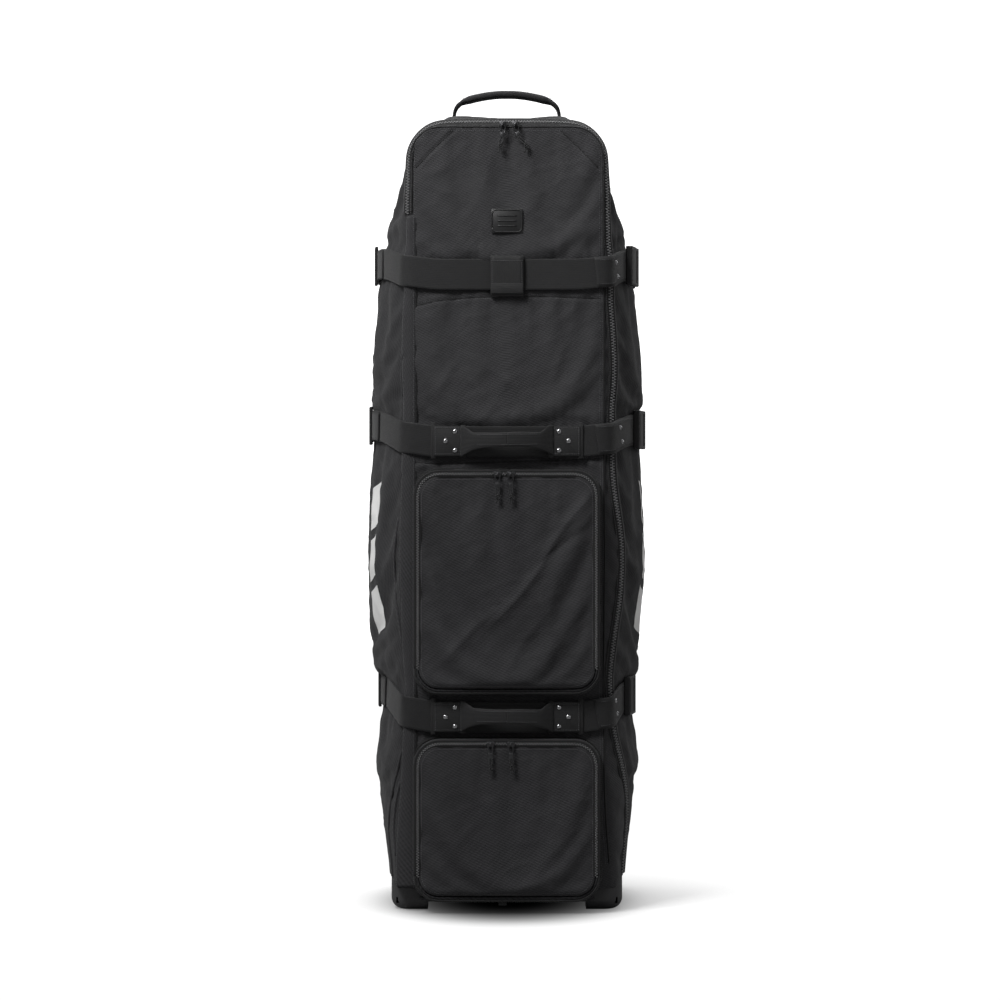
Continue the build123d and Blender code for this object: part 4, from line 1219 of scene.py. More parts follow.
def build_back_edge(wall_surface):
    """Binding between the walls and the back, with two rows of stitches beside it."""
    def edge(s):
        return resample(np.array([wall_point(column, s) for column in COLUMNS[2:-2]]), 5)

    parts = Parts()
    parts.tube(edge(0.9985), 2.4)
    for s in (0.965, 0.95):
        points, normals = [], []
        for q in edge(s):
            hit, normal, _, _ = wall_surface.find_nearest(Vector(q))
            normal = np.array(normal)
            if np.dot(normal, q - np.array([0, 20, 600])) < 0:
                normal = -normal
            points.append(np.array(hit))
            normals.append(normal)
        parts.stitch(np.array(points), unit(np.array(normals)), pitch=4.0, length=2.8)
    attach(parts.build("back_edge_binding", [BINDING, THREAD]), "case", "shell_fabric")


# ------------------------------------------------------------------ pockets
def rounded_loop(half, bottom, top, radius):
    """(x, z) points of a rounded rectangle, from its lower left up and round, about 6 apart."""
    low, high, inner = bottom + radius, top - radius, half - radius
    # straight start, straight end, centre of the corner after it, angle where it starts
    sides = [((-half, low), (-half, high), (-inner, high), 180),
             ((-inner, top), (inner, top), (inner, high), 90),
             ((half, high), (half, low), (inner, low), 0),
             ((inner, bottom), (-inner, bottom), (-inner, low), -90)]
    points = []
    for (x0, z0), (x1, z1), (cx, cz), angle in sides:
        count = max(int(math.hypot(x1 - x0, z1 - z0) / 6), 1)
        for i in range(count):
            points.append((x0 + (x1 - x0) * i / count, z0 + (z1 - z0) * i / count))
        count = max(int(radius * math.pi / 2 / 6), 3)
        for i in range(count):
            t = math.radians(angle - 90 * i / count)
            points.append((cx + radius * math.cos(t), cz + radius * math.sin(t)))
    return np.array(points)


def close_loop(points):
    return np.concatenate([points, points[:1]])


# Section of a pocket's side wall: y, distance outwards
POCKET_SECTION = [(-149.2, 2.0), (-151.0, 0.6), (-155, 0.8), (-160, 1.6), (-165, 1.8),
                  (-170, 1.0), (-174, -0.6), (-176.2, -2.6), (-177.2, -5.0)]


def build_pocket_wall(pocket, base, outward):
    """Side wall of a pocket, from the door to the zip."""
    count, deep = len(base), len(POCKET_SECTION)
    verts, faces = [], []
    for i in range(count):
        for k, (y, out) in enumerate(POCKET_SECTION):
            wobble = 0.9 * noise_at(base[i][0] / 28, base[i][1] / 28, y / 12 + pocket.wall_seed)
            q = base[i] + outward[i] * (out - 1.2 + wobble * (0 < k < 7))
            verts.append((q[0], y, q[1]))
        here, there = i * deep, (i + 1) % count * deep
        faces += [(here + k, there + k, there + k + 1, here + k + 1) for k in range(deep - 1)]
    run = np.linalg.norm(np.diff(base, axis=0), axis=1)
    run = np.concatenate([[0], np.cumsum(run)]) / 1000
    uvs = [(u, y / 1000) for u in run for y, _ in POCKET_SECTION]
    wall = mesh_object(f"{pocket.name}_pocket_wall", verts, faces, [POCKET, LINING], uvs=uvs)
    recalculate_normals(wall)
    orient(wall, 4, (get_points(wall)[4][0], 0, 0))
    subdivide(wall, 1)
    solidify(wall, 2.2, inner=1)
    attach(wall, "door", "pocket_fabric", f"{pocket.name}_pocket_gusset")


def build_pocket_welt(pocket, base, outward):
    """Welts at both edges of the side wall and the stitches between them."""
    def ring(offset, y):
        return close_loop(np.array([(x, y, z) for x, z in base + outward * offset]))

    parts = Parts()
    parts.tube(ring(2.0, -150.6), 1.7)
    parts.tube(ring(-1.4, -177.0), 1.4)
    normals = close_loop(np.array([(x, 0, z) for x, z in outward]))
    parts.stitch(ring(0.9, -171.0), normals, **LONG_STITCH)
    attach(parts.build(f"{pocket.name}_pocket_welt", [BINDING, THREAD]), "door",
           "pocket_fabric")


def build_pocket_zip(pocket):
    """Tape and coil up the left side, over the top and down the right side."""
    inset = 6.2
    loop = rounded_loop(POCKET_HALF - inset, pocket.bottom + inset, pocket.top - inset,
                        POCKET_R - 6.0)
    start = int(np.argmin(np.abs(loop[:60, 1] - pocket.zip_left_z) + (loop[:60, 0] > 0) * 1e3))
    path = loop[start:]
    end = len(path)
    for i in range(len(path) // 3, len(path)):
        if path[i][0] > 0 and path[i][1] < pocket.zip_right_z:
            end = i
            break
    points = np.array([(x, -178.0, z) for x, z in path[:end]])
    points = smooth_points(resample(points, 4), 2)
    normals = np.tile(np.array([FRONT]), (len(points), 1))
    parts = Parts()
    parts.ribbon(points, normals, 13.0, 0.8, across=5, lift=-1.2, crown=0.6)
    parts.teeth(points, normals, half=1.9, pitch=4.2, lift=0.3)
    attach(parts.build(f"{pocket.name}_pocket_zip", [TAPE, COIL]), f"{pocket.name}_flap",
           "zip_tape", f"{pocket.name}_zip_chain")


def rounded_steps(low, high, radius, steps):
    """Grid stations across a rounded panel: CELLS in each corner, steps between them."""
    cells = FACE_CORNER_CELLS
    return ([low + radius * i / cells for i in range(cells)]
            + list(np.linspace(low + radius, high - radius, steps + 1))
            + [high - radius + radius * (i + 1) / cells for i in range(cells)])


FACE_HALF, FACE_R, FACE_CORNER_CELLS = 138.5, 31.0, 4


def pocket_face_grid(low, high, bulge):
    flat, r = FACE_HALF - FACE_R, FACE_R
    xs = rounded_steps(-FACE_HALF, FACE_HALF, r, 22)
    zs = rounded_steps(low, high, r, max(int((high - low - 2 * r) / 9), 8))
    grid = np.zeros((len(xs), len(zs), 3))
    for i, x in enumerate(xs):
        for k, z in enumerate(zs):
            u = max(abs(x) - flat, 0) / r
            v = max(z - (high - r), (low + r) - z, 0) / r
            cx, cz = corner_map(u, v)
            px = math.copysign(flat + r * cx, x) if u > 0 else x
            pz = z
            if v > 0:
                pz = high - r + r * cz if z > high - r else low + r - r * cz
            ex = min(FACE_HALF - abs(px), 60) / 60
            ez = min(high - pz, pz - low, 60) / 60
            rise = max(min(ex, 1), 0) ** 0.5 * max(min(ez, 1), 0) ** 0.5
            grid[i, k] = (px, -177.6 - bulge * rise, pz)
    return grid


def wrinkle_pocket_face(face, pocket, low, high):
    points = get_points(face)
    x, y, z = points.T                       # views: changing y changes points
    seed = pocket.face_seed
    rim = np.minimum(FACE_HALF - np.abs(x), np.minimum(high - z, z - low))
    y -= crinkle(x, z, seed) * fade(rim, 20)
    for (x0, z0), (x1, z1), width, height in pocket.folds:
        length = math.hypot(x1 - x0, z1 - z0)
        ca, sa = (x1 - x0) / length, (z1 - z0) / length
        u = (x - x0) * ca + (z - z0) * sa
        v = -(x - x0) * sa + (z - z0) * ca + 5 * np.sin(u / 38)
        fold = (height * np.exp(-np.abs(v / width) ** 1.6)
                * np.exp(-(np.abs(u - length / 2) / (length / 2)) ** 4))
        y -= fold * fade(rim, 18)
    y -= (crinkle(x * 1.8, z * 1.8, seed + 5, 0.65) * fade(rim, 10)
          * np.exp(-np.clip(rim - 12, 0, 200) / 26))
    set_points(face, points)
    fine_noise(face, 0.3, 12, seed)


def build_pocket_face(pocket):
    """Cloth face with its stitched rim."""
    low, high, seed = pocket.bottom + 9.0, pocket.top - 10.5, pocket.face_seed
    grid = pocket_face_grid(low, high, pocket.fullness)
    columns, rows = grid.shape[:2]
    face = grid_object(f"{pocket.name}_pocket_face", grid, [POCKET, LINING])
    orient(face, rows * (columns // 2) + rows // 2, FRONT)
    pin = np.full((columns, rows), 0.012)
    pin[0, :] = pin[-1, :] = pin[:, 0] = pin[:, -1] = 1
    pin = pin.ravel()
    rough = np.array([noise_at((p[0] + p[2] * 0.5) / 50 + seed, p[2] / 70, seed)
                      for p in get_points(face)])
    displace(face, rough * 2.2 * (pin < 0.5))
    cloth(face, pin, frames=26, pressure=0.30, grow=0.013, bend=1.6, tension=9, gravity=1.0)
    subdivide(face, 2)
    wrinkle_pocket_face(face, pocket, low, high)
    surface = surface_of(face)
    rim = close_loop(rounded_loop(FACE_HALF - 4, low + 4, high - 4, FACE_R - 3))
    parts = Parts()
    parts.stitch(*drape(surface, resample(rim, 3.5)), **PANEL_STITCH, mat=0)
    stitching = parts.build(f"{pocket.name}_pocket_stitching", [THREAD])
    solidify(face, 2.4, inner=1)
    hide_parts(f"{pocket.name}_pocket_flap")
    for obj in (face, stitching):
        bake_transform(obj)
    return surface


def build_pocket(pocket):
    base = rounded_loop(POCKET_HALF, pocket.bottom, pocket.top, POCKET_R)
    along = np.roll(base, -1, axis=0) - np.roll(base, 1, axis=0)
    outward = np.stack([-along[:, 1], along[:, 0]], axis=1)
    outward = outward / np.linalg.norm(outward, axis=1)[:, None]
    build_pocket_wall(pocket, base, outward)
    build_pocket_welt(pocket, base, outward)
    build_pocket_zip(pocket)
    return build_pocket_face(pocket)


# ------------------------------------------------------------------ webbing straps
def wall_run(strap, gap, y0, y1, side, height):
    """Points and normals along a strap's ring on one side; height gives z from y."""
    points, normals = [], []
    for y in np.linspace(y0, y1, max(int(abs(y1 - y0) / 5), 2)):
        x = ring_x(strap.half_width, max(min(y, BACK_Y), FRONT_Y))
        next_x = ring_x(strap.half_width, max(min(y + 1, BACK_Y), FRONT_Y + 1))
        tx, ty = unit(np.array([next_x - x, 1.0]))
        run_y = y - tx * gap
        points.append((side * (x + ty * gap), run_y, height(run_y)))
        normals.append((side * ty, -tx, 0))
    return np.array(points, float), np.array(normals, float)


def strap_path(strap):
    """From the left wall across the front to the socket on the right wall."""
    gap = 6.4
    left = wall_run(strap, gap, 20, -146, -1, lambda y: strap_side_z(strap, -1, y))
    front = np.array([(x, FRONT_Y - gap, strap_front_z(strap, x))
                      for x in np.linspace(-157, 157, 80)])
    right = wall_run(strap, gap, -147, strap.buckle_y - 12, 1,
                     lambda y: strap_side_z(strap, 1, y))
    points = np.concatenate([left[0], front, right[0]])
    normals = unit(np.concatenate([left[1], np.tile(FRONT, (len(front), 1)), right[1]]))
    both = resample(np.concatenate([points, normals], axis=1), 4.0)
    return smooth_points(both[:, :3], 4), unit(smooth_points(both[:, 3:], 6))


def build_strap(name, strap, rivets):
    """Webbing, its folded stitched end by the socket, and two rivets."""
    points, normals = strap_path(strap)

    def ripple(run, s):
        return (0.5 * math.sin(run / 31 + strap.phase)
                + 0.35 * s * math.sin(run / 47 + strap.phase))

    parts = Parts()
    parts.ribbon(points, normals, 49.5, 1.7, across=11, edge=0.25, wave=ripple)
    webbing = parts.build(f"webbing_{name}", [WEBBING])
    subdivide(webbing, 1)
    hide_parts(f"strap_{name}")
    blend_at_hinge(webbing)
    start = max(i for i, p in enumerate(points) if p[0] < 150 and p[1] < -140)
    parts = Parts()
    parts.ribbon(points[start - 2:], normals[start - 2:], 48.5, 1.6, lift=1.9)
    for dz in (-19, 19):
        parts.stitch(points[start:-4] + np.array([0, 0, dz]), normals[start:-4], lift=3.6)
    attach(parts.build(f"webbing_end_{name}", [WEBBING, THREAD]), "door", "webbing")
    middle = (start + len(points)) // 2 - 4
    for dz, step in ((11, -1), (-13, 1)):
        i = middle + step
        rivets.dome(points[i] + normals[i] * 3.4 + np.array([0, 0, dz]), 4.0, 2.0, normals[i])


def add_anchor(parts, strap, start_y, side, z):
    """Level webbing on a side wall whose rear end is tucked in and sewn."""
    points, normals = wall_run(strap, 6.3, start_y, 118, side, lambda y: z)
    points[-5:, 0] -= side * np.array([0.5, 1.3, 2.2, 3.0, 3.4])
    points, normals = resample_pair(points, normals, 4.0)
    parts.ribbon(points, normals, 49.5, 1.6)
    for dz in (-20, 20):
        parts.stitch(points[-12:-1] + np.array([0, 0, dz]), normals[-12:-1], lift=1.8)
    return points, normals


def build_right_anchors():
    """Webbing under the buckle plugs, closed by two upright rows of stitches."""
    parts = Parts()
    for strap in STRAPS.values():
        points, normals = add_anchor(parts, strap, strap.buckle_y + 10, 1, strap.right_z)
        for i in (-12, -2):
            parts.stitch(row(points[i], 20, 12, Z_AXIS), normals[i], lift=1.8)
    attach(parts.build("webbing_anchors_right", [WEBBING, THREAD]), "case", "webbing",
           "plug_webbing")


def build_left_anchors():
    """Webbing on the left wall that passes the ladder lock and folds back on itself."""
    parts = Parts()
    for strap in STRAPS.values():
        add_anchor(parts, strap, 6, -1, strap.left_z)
        fold = wall_run(strap, 8.6, -60, 4, -1, lambda y: strap_side_z(strap, -1, y) - 1.0)
        parts.ribbon(*fold, 47.5, 1.5, wave=lambda run, s: 1.2 * math.sin(run / 22))
    attach(parts.build("webbing_anchors_left", [WEBBING, THREAD]), "case", "webbing",
           "left_webbing")


# Section of the keeper: y, height above its centre
KEEPER_SECTION = [(-152.0, 30), (-156.0, 30.6), (-160.2, 30.0), (-161.8, 27.5), (-162.6, 18),
                  (-162.9, 6), (-162.7, -8), (-162.8, -20), (-162.4, -27), (-161.0, -30.4),
                  (-156.5, -31.2), (-152.0, -30.6)]


def build_keeper():
    """Loop over the top strap, in the middle of the door."""
    centre_z = STRAPS["top"].front_z - 2
    points = resample(np.array([(0, y, centre_z + z) for y, z in KEEPER_SECTION]), 2.5)
    along = tangents(points)
    normals = np.stack([np.zeros(len(along)), along[:, 2], -along[:, 1]], axis=1)
    parts = Parts()
    parts.ribbon(points, normals, 52.0, 1.5)
    for dz in (-23, 23):
        parts.stitch(row((0, -164.3, centre_z + dz), 24, 20), FRONT, lift=0.2)
    for x in (-23.5, 23.5):
        parts.stitch(row((x, -164.4, centre_z), 23, 18, Z_AXIS), FRONT, lift=0.2)
    # the turned-up end shows as a second, shorter layer
    parts.box((0, -164.9, centre_z - 20.5), (50.5, 1.3, 16), bevel=1.2)
    attach(parts.build("strap_keeper_loop", [WEBBING, THREAD]), "door", "webbing",
           "strap_keeper")


# ------------------------------------------------------------------ grab handles
def build_handle_patches(rivets):
    """Stitched patches at the ends of the grab handles, loops beside them and rivets."""
    parts = Parts()
    for name in HANDLE_TILT:
        z = STRAPS[name].front_z
        for side in (-1, 1):
            x = side * 93.0
            parts.box((x, -160.2, z + 1), (46, 2.6, 47), bevel=2.0)
            parts.box((side * 116.5, -159.2, z + 2), (7, 2.2, 57), bevel=1.5)
            parts.box((side * 69.0, -161.0, z + 0.5), (8, 2.6, 51), bevel=1.5)
            for dz in (-20.5, 20.5):
                parts.stitch(row((x, -161.6, z + 1 + dz), 20, 16), FRONT)
            for dx in (-20, 20):
                parts.stitch(row((x + dx, -161.6, z + 1), 20, 16, Z_AXIS), FRONT)
            for rivet_x, dz in ((82, 15), (97, 0), (82, -15)):
                rivets.dome((side * rivet_x, -161.3, z + 1 + dz), 4.3, 2.4, FRONT)
    attach(parts.build("handle_patch_set", [WEBBING, THREAD]), "door", "webbing",
           "handle_patches")


def build_grab_half(name, side):
    """Half a grab handle: folded webbing, sewn flat at the patch and bowed in the middle."""
    sides, rings, half_span = 26, 40, 73
    strap_z = STRAPS[name].front_z

    def bow_y(x):
        return -162.0 - 20.0 * (1 - (abs(x) / half_span) ** 2.2)

    def middle_z(x):
        return strap_z + 1.5 + HANDLE_TILT[name] * x / half_span

    verts, uvs = [], []
    for i in range(rings):
        x = side * float(half_span) * (1 - i / (rings - 1)) if i < rings - 1 else 0.0
        flat = float(smoothstep((abs(x) - 50) / 20))
        top = 13.0 + 10.5 * flat
        bottom = 10.0 + 14.5 * (abs(x) / half_span) ** 3.2
        thick = 4.0 - 2.6 * flat
        for k in range(sides):
            a = 2 * math.pi * k / sides
            ca, sa = math.cos(a), math.sin(a)
            dy = signed_power(ca, 0.45) * thick
            dz = signed_power(sa, 0.75) * (top if sa > 0 else bottom)
            groove = 0.9 * math.exp(-((dz - 1.5) / 1.3) ** 2) * (1 - flat) if ca < 0 else 0
            verts.append((x, bow_y(x) + dy + groove,
                          middle_z(x) + dz + 0.5 * math.sin(x / 11) * (1 - flat)))
            uvs.append((x / 1000, k / sides * 0.05))
    parts = Parts()
    parts.add(verts, tube_faces(rings, sides), uvs)
    for dz in (-6.6, 9.4):
        parts.stitch([(x, bow_y(x) - 4.0, middle_z(x) + dz)
                      for x in np.linspace(side * 46, 0, 24)], FRONT)
    grab = parts.build(f"grab_{name}_{'left' if side < 0 else 'right'}", [WEBBING, THREAD])
    recalculate_normals(grab)
    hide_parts(f"grab_handle_{name}")
    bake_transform(grab)


# ------------------------------------------------------------------ carry handle on the crown
CARRY_Y = 8.0
# Right half of the handle's arc: x, z
CARRY_ARC = [(86, 1269), (85.4, 1282), (81, 1292.5), (71, 1299.5), (54, 1304.6), (34, 1308.6),
             (14, 1311)]


def build_carry_webbing(arc, normals):
    parts = Parts()
    widths = np.array([12 + 14 * float(smoothstep((z - 1276) / 18)) for z in arc[:, 2]])
    parts.ribbon(arc, normals, widths, 5.4, lift=-2.7)
    for side in (-1, 1):
        parts.box((side * 86, CARRY_Y, 1267.5), (6, 24, 5), bevel=2)
    attach(parts.build("carry_webbing", [WEBBING]), "top_handle", "webbing",
           "top_handle_webbing")


def build_carry_grip(arc, normals):
    """Padded sleeve on the middle of the arc, narrower at its ends."""
    held = np.abs(arc[:, 0]) < 75
    arc, normals = arc[held], normals[held]
    sides, rings = 20, len(arc)
    verts, uvs = [], []
    for i in range(rings):
        to_end = min(i, rings - 1 - i)
        swell = 0.62 + 0.38 * min(to_end / 5, 1) ** 0.7
        for k in range(sides):
            a = 2 * math.pi * k / sides
            rise = signed_power(math.sin(a), 0.7) * 6.0 * swell
            across = signed_power(math.cos(a), 0.6) * 15 * swell
            verts.append(arc[i] + normals[i] * rise + np.array([0, 1, 0]) * across)
            uvs.append((i * 0.003, k / sides * 0.06))
    parts = Parts()
    parts.add(verts, tube_faces(rings, sides), uvs)
    for dy in (-12, 12):
        parts.stitch(arc[2:-2] + np.array([0, dy, 0]), normals[2:-2], lift=5.6)
    for i in (2, rings - 3):
        parts.stitch(row(arc[i], 12, 10, (0, 1, 0)), normals[i], lift=5.7)
    grip = parts.build("carry_grip", [GRIP, THREAD])
    recalculate_normals(grip)
    attach(grip, "top_handle", "webbing", "top_handle_grip")


def build_carry_patches(wall_surface):
    """Patches sewn to the crown beside the handle's feet."""
    parts = Parts()
    for side in (-1, 1):
        origins = [(side * x, CARRY_Y, 1400) for x in np.linspace(91, 124, 11)]
        points, normals = cast_row(wall_surface, origins, (0, 0, -1), 2, 3)
        parts.ribbon(points, normals, 28.0, 1.4, lift=0.1)
        for offset in (-11, 11):
            parts.stitch(points, normals, side=offset, lift=1.6)
    attach(parts.build("carry_anchor_patches", [WEBBING, THREAD]), "case", "webbing")


def build_carry_handle(wall_surface):
    arc = ([(x, CARRY_Y, z) for x, z in CARRY_ARC]
           + [(-x, CARRY_Y, z) for x, z in CARRY_ARC[::-1]])
    arc = smooth_points(resample(np.array(arc), 3), 5)
    along = tangents(arc)
    normals = np.stack([along[:, 2], np.zeros(len(along)), -along[:, 0]], axis=1)
    build_carry_webbing(arc, normals)
    build_carry_grip(arc, normals)
    build_carry_patches(wall_surface)


# ------------------------------------------------------------------ zip sliders and pulls
def build_slider(name, x, y, z):
    """Two plates on a core, with a bridge for the pull."""
    parts = Parts()
    parts.box((x, y - 1.6, z), (11.5, 2.2, 8.2), bevel=2.6)
    parts.box((x, y + 2.4, z), (10.5, 1.8, 7.6), bevel=2.4)
    parts.box((x, y + 0.4, z), (2.2, 4.4, 5.0))
    bridge = [(-2.6, 3.0), (-4.6, 3.2), (-6.6, 2.2), (-7.6, 0), (-6.6, -2.4), (-4.6, -3.2),
              (-2.6, -3.0)]
    parts.tube([(x, y + dy, z + dz) for dy, dz in bridge], 1.1)
    attach(parts.build(f"zip_slider_{name}", [SLIDER_METAL]), f"{name}_slider", "metal",
           f"{name}_slider")


def build_pull(name, x, y, z, lean, surface):
    """Metal loop and tab with a knotted cord, hanging clear of the cloth."""
    hang_y = y - 6.0
    for drop in (12, 22, 32, 42):
        hit, _ = cast_front(surface, x + lean, z - drop)
        if hit is not None:
            hang_y = min(hang_y, hit[1] - 2.6)
    parts = Parts()
    loop = []
    for i in range(25):
        a = 2 * math.pi * i / 24
        low = (1 - math.cos(a)) / 2
        loop.append((x + 3.4 * math.sin(a) + lean * 0.1 * low,
                     y - 6.2 + (hang_y - y + 6.0) * low, z - 7.5 + 8.0 * math.cos(a)))
    parts.tube(loop, 1.0)
    parts.box((x + lean * 0.2, hang_y - 0.2, z - 18.0), (7.4, 2.0, 9.0), bevel=2.0)
    for side in (-1, 1):
        strand = [(x + lean * (0.2 + 0.9 * t) + side * (2.4 * math.sin(math.pi * t) + 0.4),
                   hang_y - 0.6 * math.sin(2.2 * t) - 0.2, z - 20 - 14 * t)
                  for t in (i / 13 for i in range(14))]
        parts.tube(strand, 1.15, mat=1)
    knot_x, knot_z = x + lean * 1.1, z - 36
    knot = []
    for i in range(40):
        a = 2 * math.pi * i / 39
        knot.append((knot_x + 2.1 * math.sin(2 * a), hang_y + 1.5 * math.sin(3 * a) - 0.3,
                     knot_z + 2.4 * math.cos(a) * 1.2))
    parts.tube(knot, 1.3, 7, mat=1)
    for side in (-1, 1):
        parts.tube([(knot_x + side * (0.8 + 1.6 * t), hang_y - 0.3, knot_z - 2 - 8 * t)
                    for t in np.linspace(0, 1, 6)], 1.1, mat=1)
    attach(parts.build(f"zip_pull_{name}", [SLIDER_METAL, CORD]), f"{name}_pull", "metal",
           f"{name}_pull")


# ------------------------------------------------------------------ badge and stripes
def build_badge(door_surface):
    """Plain moulded plate with a raised rim and three ribs."""
    z = 1091.0
    y = min(cast_front(door_surface, x, z + dz)[0][1]
            for x in (-24, -12, 0, 12, 24) for dz in (-18, -9, 0, 9, 18)) + 0.6
    parts = Parts()
    parts.box((0, y - 0.9, z), (50, 2.4, 38), bevel=7.0)
    rim = close_loop(rounded_loop(23.4, z - 17.4, z + 17.4, 6.4))
    parts.tube([(rim_x, y - 2.1, rim_z) for rim_x, rim_z in rim], 1.1)
    for dz in (-8, 0, 8):
        parts.tube(row((0, y - 2.0, z + dz), 15, 8), 1.2)
    attach(parts.build("plain_badge", [BADGE]), "door", "badge", "badge_patch")


def build_stripe(side, name, wall_surface):
    """Three slanting pale blocks, one above the other, on a side wall."""
    block_h, block_pitch, first_z = 68, 84, 440
    shift = 28 if side > 0 else 0
    parts = Parts()
    for low in (first_z, first_z + block_pitch, first_z + 2 * block_pitch):
        grid = []
        for y in np.linspace(-70, -32, 12) + shift:
            slant = 0.35 * (y - (shift - 51))
            heights = np.linspace(low, low + block_h, block_h // 4) - slant
            grid.append([np.array(wall_surface.ray_cast(
                Vector((side * 420, y, z)), Vector((-side, 0, 0)))[0])
                + np.array([side * 0.7, 0, 0]) for z in heights])
        grid = np.array(grid)
        faces = grid_faces(*grid.shape[:2])
        if side > 0:
            faces = [face[::-1] for face in faces]
        parts.add(grid.reshape(-1, 3), faces, [tuple(uv) for uv in grid_uv(grid)])
    attach(parts.build(f"side_stripe_{name}", [STRIPE]), "case", "shell_fabric")


# ------------------------------------------------------------------ inside and base of the case
def build_crown_pad(wall_surface):
    """Quilted pad under the crown, kept below the cloth."""
    grid = []
    for i in range(19):
        cells = []
        for k in range(19):
            u, v = -1 + 2 * i / 18, -1 + 2 * k / 18
            x, y = 98 * u, -8 + 104 * v
            inner = (1 - abs(u) ** 4) * (1 - abs(v) ** 4)
            quilt = abs(math.sin(math.pi * 2 * (u + 1))) * abs(math.sin(math.pi * 2 * (v + 1)))
            z = 1216 - 10 * inner - 5 * quilt * inner
            hit = wall_surface.ray_cast(Vector((x, y, 1100)), Vector(Z_AXIS))[0]
            if hit is not None:
                z = min(z, hit[2] - 15)
            cells.append((x, y, z))
        grid.append(cells)
    pad = grid_object("crown_pad", grid, [FOAM_COVER])
    subdivide(pad, 1)
    solidify(pad, 6, offset=1.0)
    attach(pad, "case", "foam", "crown_foam")


def build_cinch():
    """Level strap inside the back wall."""
    points = np.array([(x, 173.8 - 3.5 * math.exp(-(x / 34) ** 2) + 1.0 * math.sin(x / 23),
                        640 + 1.5 * math.sin(x / 40)) for x in np.linspace(-120, 120, 60)])
    parts = Parts()
    parts.ribbon(points, FRONT, 38.0, 1.6)
    for side in (-1, 1):
        for x in (104, 117):
            parts.stitch(row((side * x, 172.0, 640), 15, 12, Z_AXIS), FRONT, lift=0.6)
    attach(parts.build("cinch_webbing", [WEBBING, THREAD]), "case", "webbing", "cinch_strap")


def build_sill():
    """Sill between the deck and the bottom of the door."""
    sections = []
    for x in np.linspace(-138, 138, 60):
        y = -147.5 + 8 * float(smoothstep((abs(x) - 110) / 28))
        sections.append([(x, y, 24), (x, y - 0.6, 20.5), (x, y + 2.5, 18.6), (x, y + 12, 18.0),
                         (x, -122, 18.0), (x, -120, 22)])
    sill = grid_object("front_sill", sections, [SIDE])
    solidify(sill, 2.0, offset=0)
    attach(sill, "case", "shell_fabric")


def build_pocket_tab():
    """Tab under the lower pocket."""
    parts = Parts()
    parts.box((-7, -172, 19.0), (13, 2.2, 11), bevel=1.5)
    attach(parts.build("lower_pocket_tab", [WEBBING]), "door", "webbing")


def dress_cad_pieces():
    """Materials of the CAD pieces that stay in view."""
    looks = {"base_deck": BASE, "skid_rails": HARD, "deck_rivets": STEEL, "axle_sets": STEEL,
             "back_board": BOARD, "cinch_buckle": HARD}
    for side in ("left", "right"):
        looks[f"wheel_tyre_{side}"] = TYRE
        looks[f"wheel_hub_{side}"] = HUB
        looks[f"wheel_bearings_{side}"] = STEEL
    for name in STRAPS:
        for piece in ("buckle_socket", "buckle_plug", "ladder_lock"):
            looks[f"{piece}_{name}"] = HARD
    for name, mat in looks.items():
        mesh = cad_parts[name].data
        mesh.materials.clear()
        mesh.materials.append(mat)
        for polygon in mesh.polygons:
            polygon.material_index = 0


# ------------------------------------------------------------------ floor, world, lights, camera
def floor_material():
    """White floor that glows evenly away from the bag and darkens round its base.

    Rays other than the camera's see a plain grey floor.
    """
    mat = bpy.data.materials.new("floor_white")
    mat.use_nodes = True
    graph = Graph(mat.node_tree)
    calc = graph.math
    graph.nodes.remove(graph.nodes["Principled BSDF"])
    position = graph.node("NewGeometry").outputs["Position"]
    distance = graph.node("VectorMath")
    distance.operation = "LENGTH"
    graph.feed(distance.inputs[0], position)
    away = graph.node("MapRange", From_Min=0.24, From_Max=0.50,
                      Value=distance.outputs["Value"])
    away.interpolation_type = "SMOOTHSTEP"
    near_diffuse = graph.node("BsdfDiffuse")
    # contact shadow: an ellipse with half axes 0.255 m and 0.39 m, scaled by 0.76
    x, y = graph.node("SeparateXYZ", Vector=position).outputs[:2]
    x = calc("DIVIDE", x, 0.255)
    y = calc("DIVIDE", y, 0.39)
    radius = calc("SQRT", calc("ADD", calc("MULTIPLY", x, x), calc("MULTIPLY", y, y)))
    falloff = calc("POWER", calc("DIVIDE", radius, 0.76), 5.0)
    shadow = calc("EXPONENT", calc("MULTIPLY", falloff, -1.0))
    light = calc("SUBTRACT", 1.0, calc("MULTIPLY", shadow, 1.0))
    near_glow = graph.node("Emission", Strength=calc("MULTIPLY", light, 0.42))
    far_glow = graph.node("Emission", Strength=1.05)
    color = graph.wire("CombineColor", *(calc("MULTIPLY", light, 0.70) for _ in range(3)))
    graph.feed(near_diffuse.inputs["Color"], color)
    near = graph.wire("AddShader", near_diffuse.outputs[0], near_glow.outputs[0])
    seen = graph.wire("MixShader", away.outputs[0], near, far_glow.outputs[0])
    camera_ray = graph.node("LightPath").outputs["Is Camera Ray"]
    unseen = graph.node("BsdfDiffuse", Color=(0.30, 0.30, 0.30, 1)).outputs[0]
    surface = graph.wire("MixShader", camera_ray, unseen, seen)
    graph.feed(graph.nodes["Material Output"].inputs["Surface"], surface)
    return mat


def build_floor():
    half = 9000
    corners = [(-half, -half, 0), (half, -half, 0), (half, half, 0), (-half, half, 0)]
    mesh_object("floor", corners, [(0, 1, 2, 3)], [floor_material()], smooth=False)


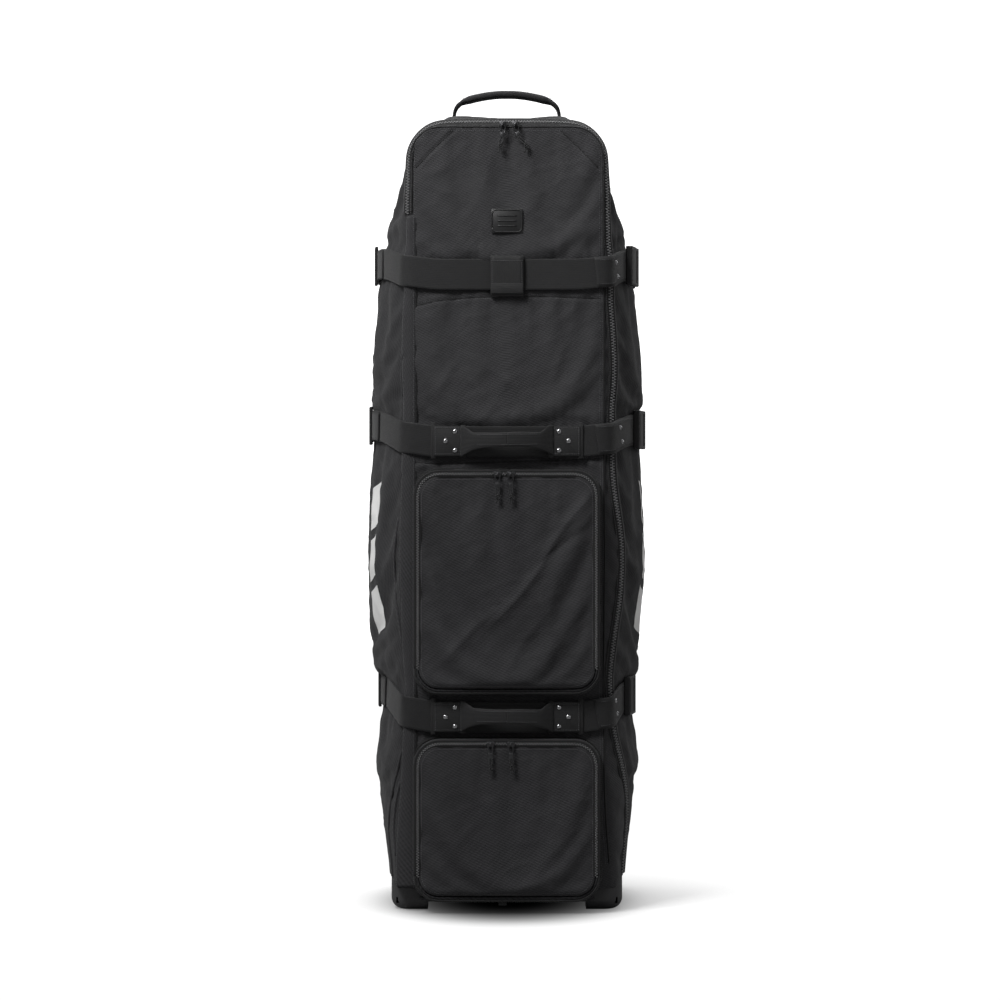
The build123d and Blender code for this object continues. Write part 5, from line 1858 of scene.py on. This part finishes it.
def build_world(scene):
    """Dim white light, with a bright white background for the camera."""
    world = bpy.data.worlds.new("studio")
    scene.world = world
    world.use_nodes = True
    graph = Graph(world.node_tree)
    dim = graph.nodes["Background"]
    dim.inputs["Color"].default_value = (1, 1, 1, 1)
    dim.inputs["Strength"].default_value = 0.15
    bright = graph.node("Background", Color=(1, 1, 1, 1), Strength=1.6)
    camera_ray = graph.node("LightPath").outputs["Is Camera Ray"]
    surface = graph.wire("MixShader", camera_ray, dim.outputs[0], bright.outputs[0])
    graph.feed(graph.nodes["World Output"].inputs["Surface"], surface)


def add_area_light(scene, name, location, target, size, power):
    """Rectangular light; metres and watts."""
    data = bpy.data.lights.new(name, "AREA")
    data.shape = "RECTANGLE"
    data.size, data.size_y = size
    data.energy = power
    light = bpy.data.objects.new(name, data)
    scene.collection.objects.link(light)
    light.location = location
    light.rotation_mode = "QUATERNION"
    aim = Vector(target) - Vector(location)
    light.rotation_quaternion = aim.to_track_quat("-Z", "Y")


# name, location, target, size, power
LIGHTS = [("key", (-1.35, -1.8, 2.8), (0, 0, 1.0), (1.0, 1.0), 80),
          ("fill", (2.4, -2.4, 1.4), (0, 0, 0.8), (1.6, 1.6), 6),
          ("top", (0.0, 0.2, 3.4), (0, 0, 0), (2.4, 2.4), 62),
          ("rim_left", (-2.3, 0.9, 1.6), (0, 0, 0.85), (0.8, 1.8), 5),
          ("rim_right", (2.3, 1.4, 1.7), (0, 0, 0.8), (0.8, 1.8), 9)]


def build_camera(scene):
    """Level camera that looks along +Y from in front of the bag."""
    sensor_width, view_angle = 36.0, 17.95
    data = bpy.data.cameras.new("camera")
    data.sensor_width = sensor_width
    data.lens = sensor_width / 2 / math.tan(math.radians(view_angle / 2))
    data.clip_end = 100
    camera = bpy.data.objects.new("camera", data)
    scene.collection.objects.link(camera)
    camera.location = scene_point((-11, -5150, 651))
    camera.rotation_mode = "QUATERNION"
    camera.rotation_quaternion = Vector((0, 1, 0)).to_track_quat("-Z", "Y")
    scene.camera = camera


def build_stage():
    scene = bpy.context.scene
    scene.view_settings.view_transform = "Standard"
    scene.view_settings.look = "None"
    scene.view_settings.exposure = 0.0
    build_floor()
    build_world(scene)
    for light in LIGHTS:
        add_area_light(scene, *light)
    build_camera(scene)


# ------------------------------------------------------------------ whole bag
def build_bag():
    wall, wall_surface = build_wall()
    back = build_back()
    door, door_surface = build_door()
    zip_path = main_zip_path(wall_surface, door_surface)
    main_zip = build_main_zip(*zip_path)
    hinge_pieces = build_hinge(wall_surface)
    surfaces = {"main": door_surface, "upper": build_pocket(UPPER_POCKET),
                "lower": build_pocket(LOWER_POCKET)}

    rivets = Parts()
    for name, strap in STRAPS.items():
        build_strap(name, strap, rivets)
    build_right_anchors()
    build_left_anchors()
    build_keeper()
    build_handle_patches(rivets)
    attach(rivets.build("rivet_set", [RIVET_METAL]), "door", "metal", "strap_rivets")
    for name in HANDLE_TILT:
        for side in (-1, 1):
            build_grab_half(name, side)
    build_carry_handle(wall_surface)

    for name, (centre, lean) in SLIDERS.items():
        build_slider(name, *centre)
        build_pull(name, *centre, lean, surfaces[name.split("_")[0]])
    build_badge(door_surface)
    for side, name in ((-1, "left"), (1, "right")):
        build_stripe(side, name, wall_surface)
    build_crown_pad(wall_surface)
    build_cinch()
    build_sill()
    build_pocket_tab()

    attach(wall, "case", "shell_fabric", "side_panel_left", "side_panel_right", "crown_panel")
    attach(back, "case", "shell_fabric", "back_panel")
    attach(door, "door", "shell_fabric", "front_door")
    attach(main_zip, "door", "zip_tape", "main_zip_chain")
    build_door_seams(door_surface, *zip_path)
    build_left_seam(wall_surface)
    build_back_edge(wall_surface)
    for piece in hinge_pieces:
        blend_at_hinge(piece)
    dress_cad_pieces()


build_bag()
build_stage()

bpy.context.view_layer.update()
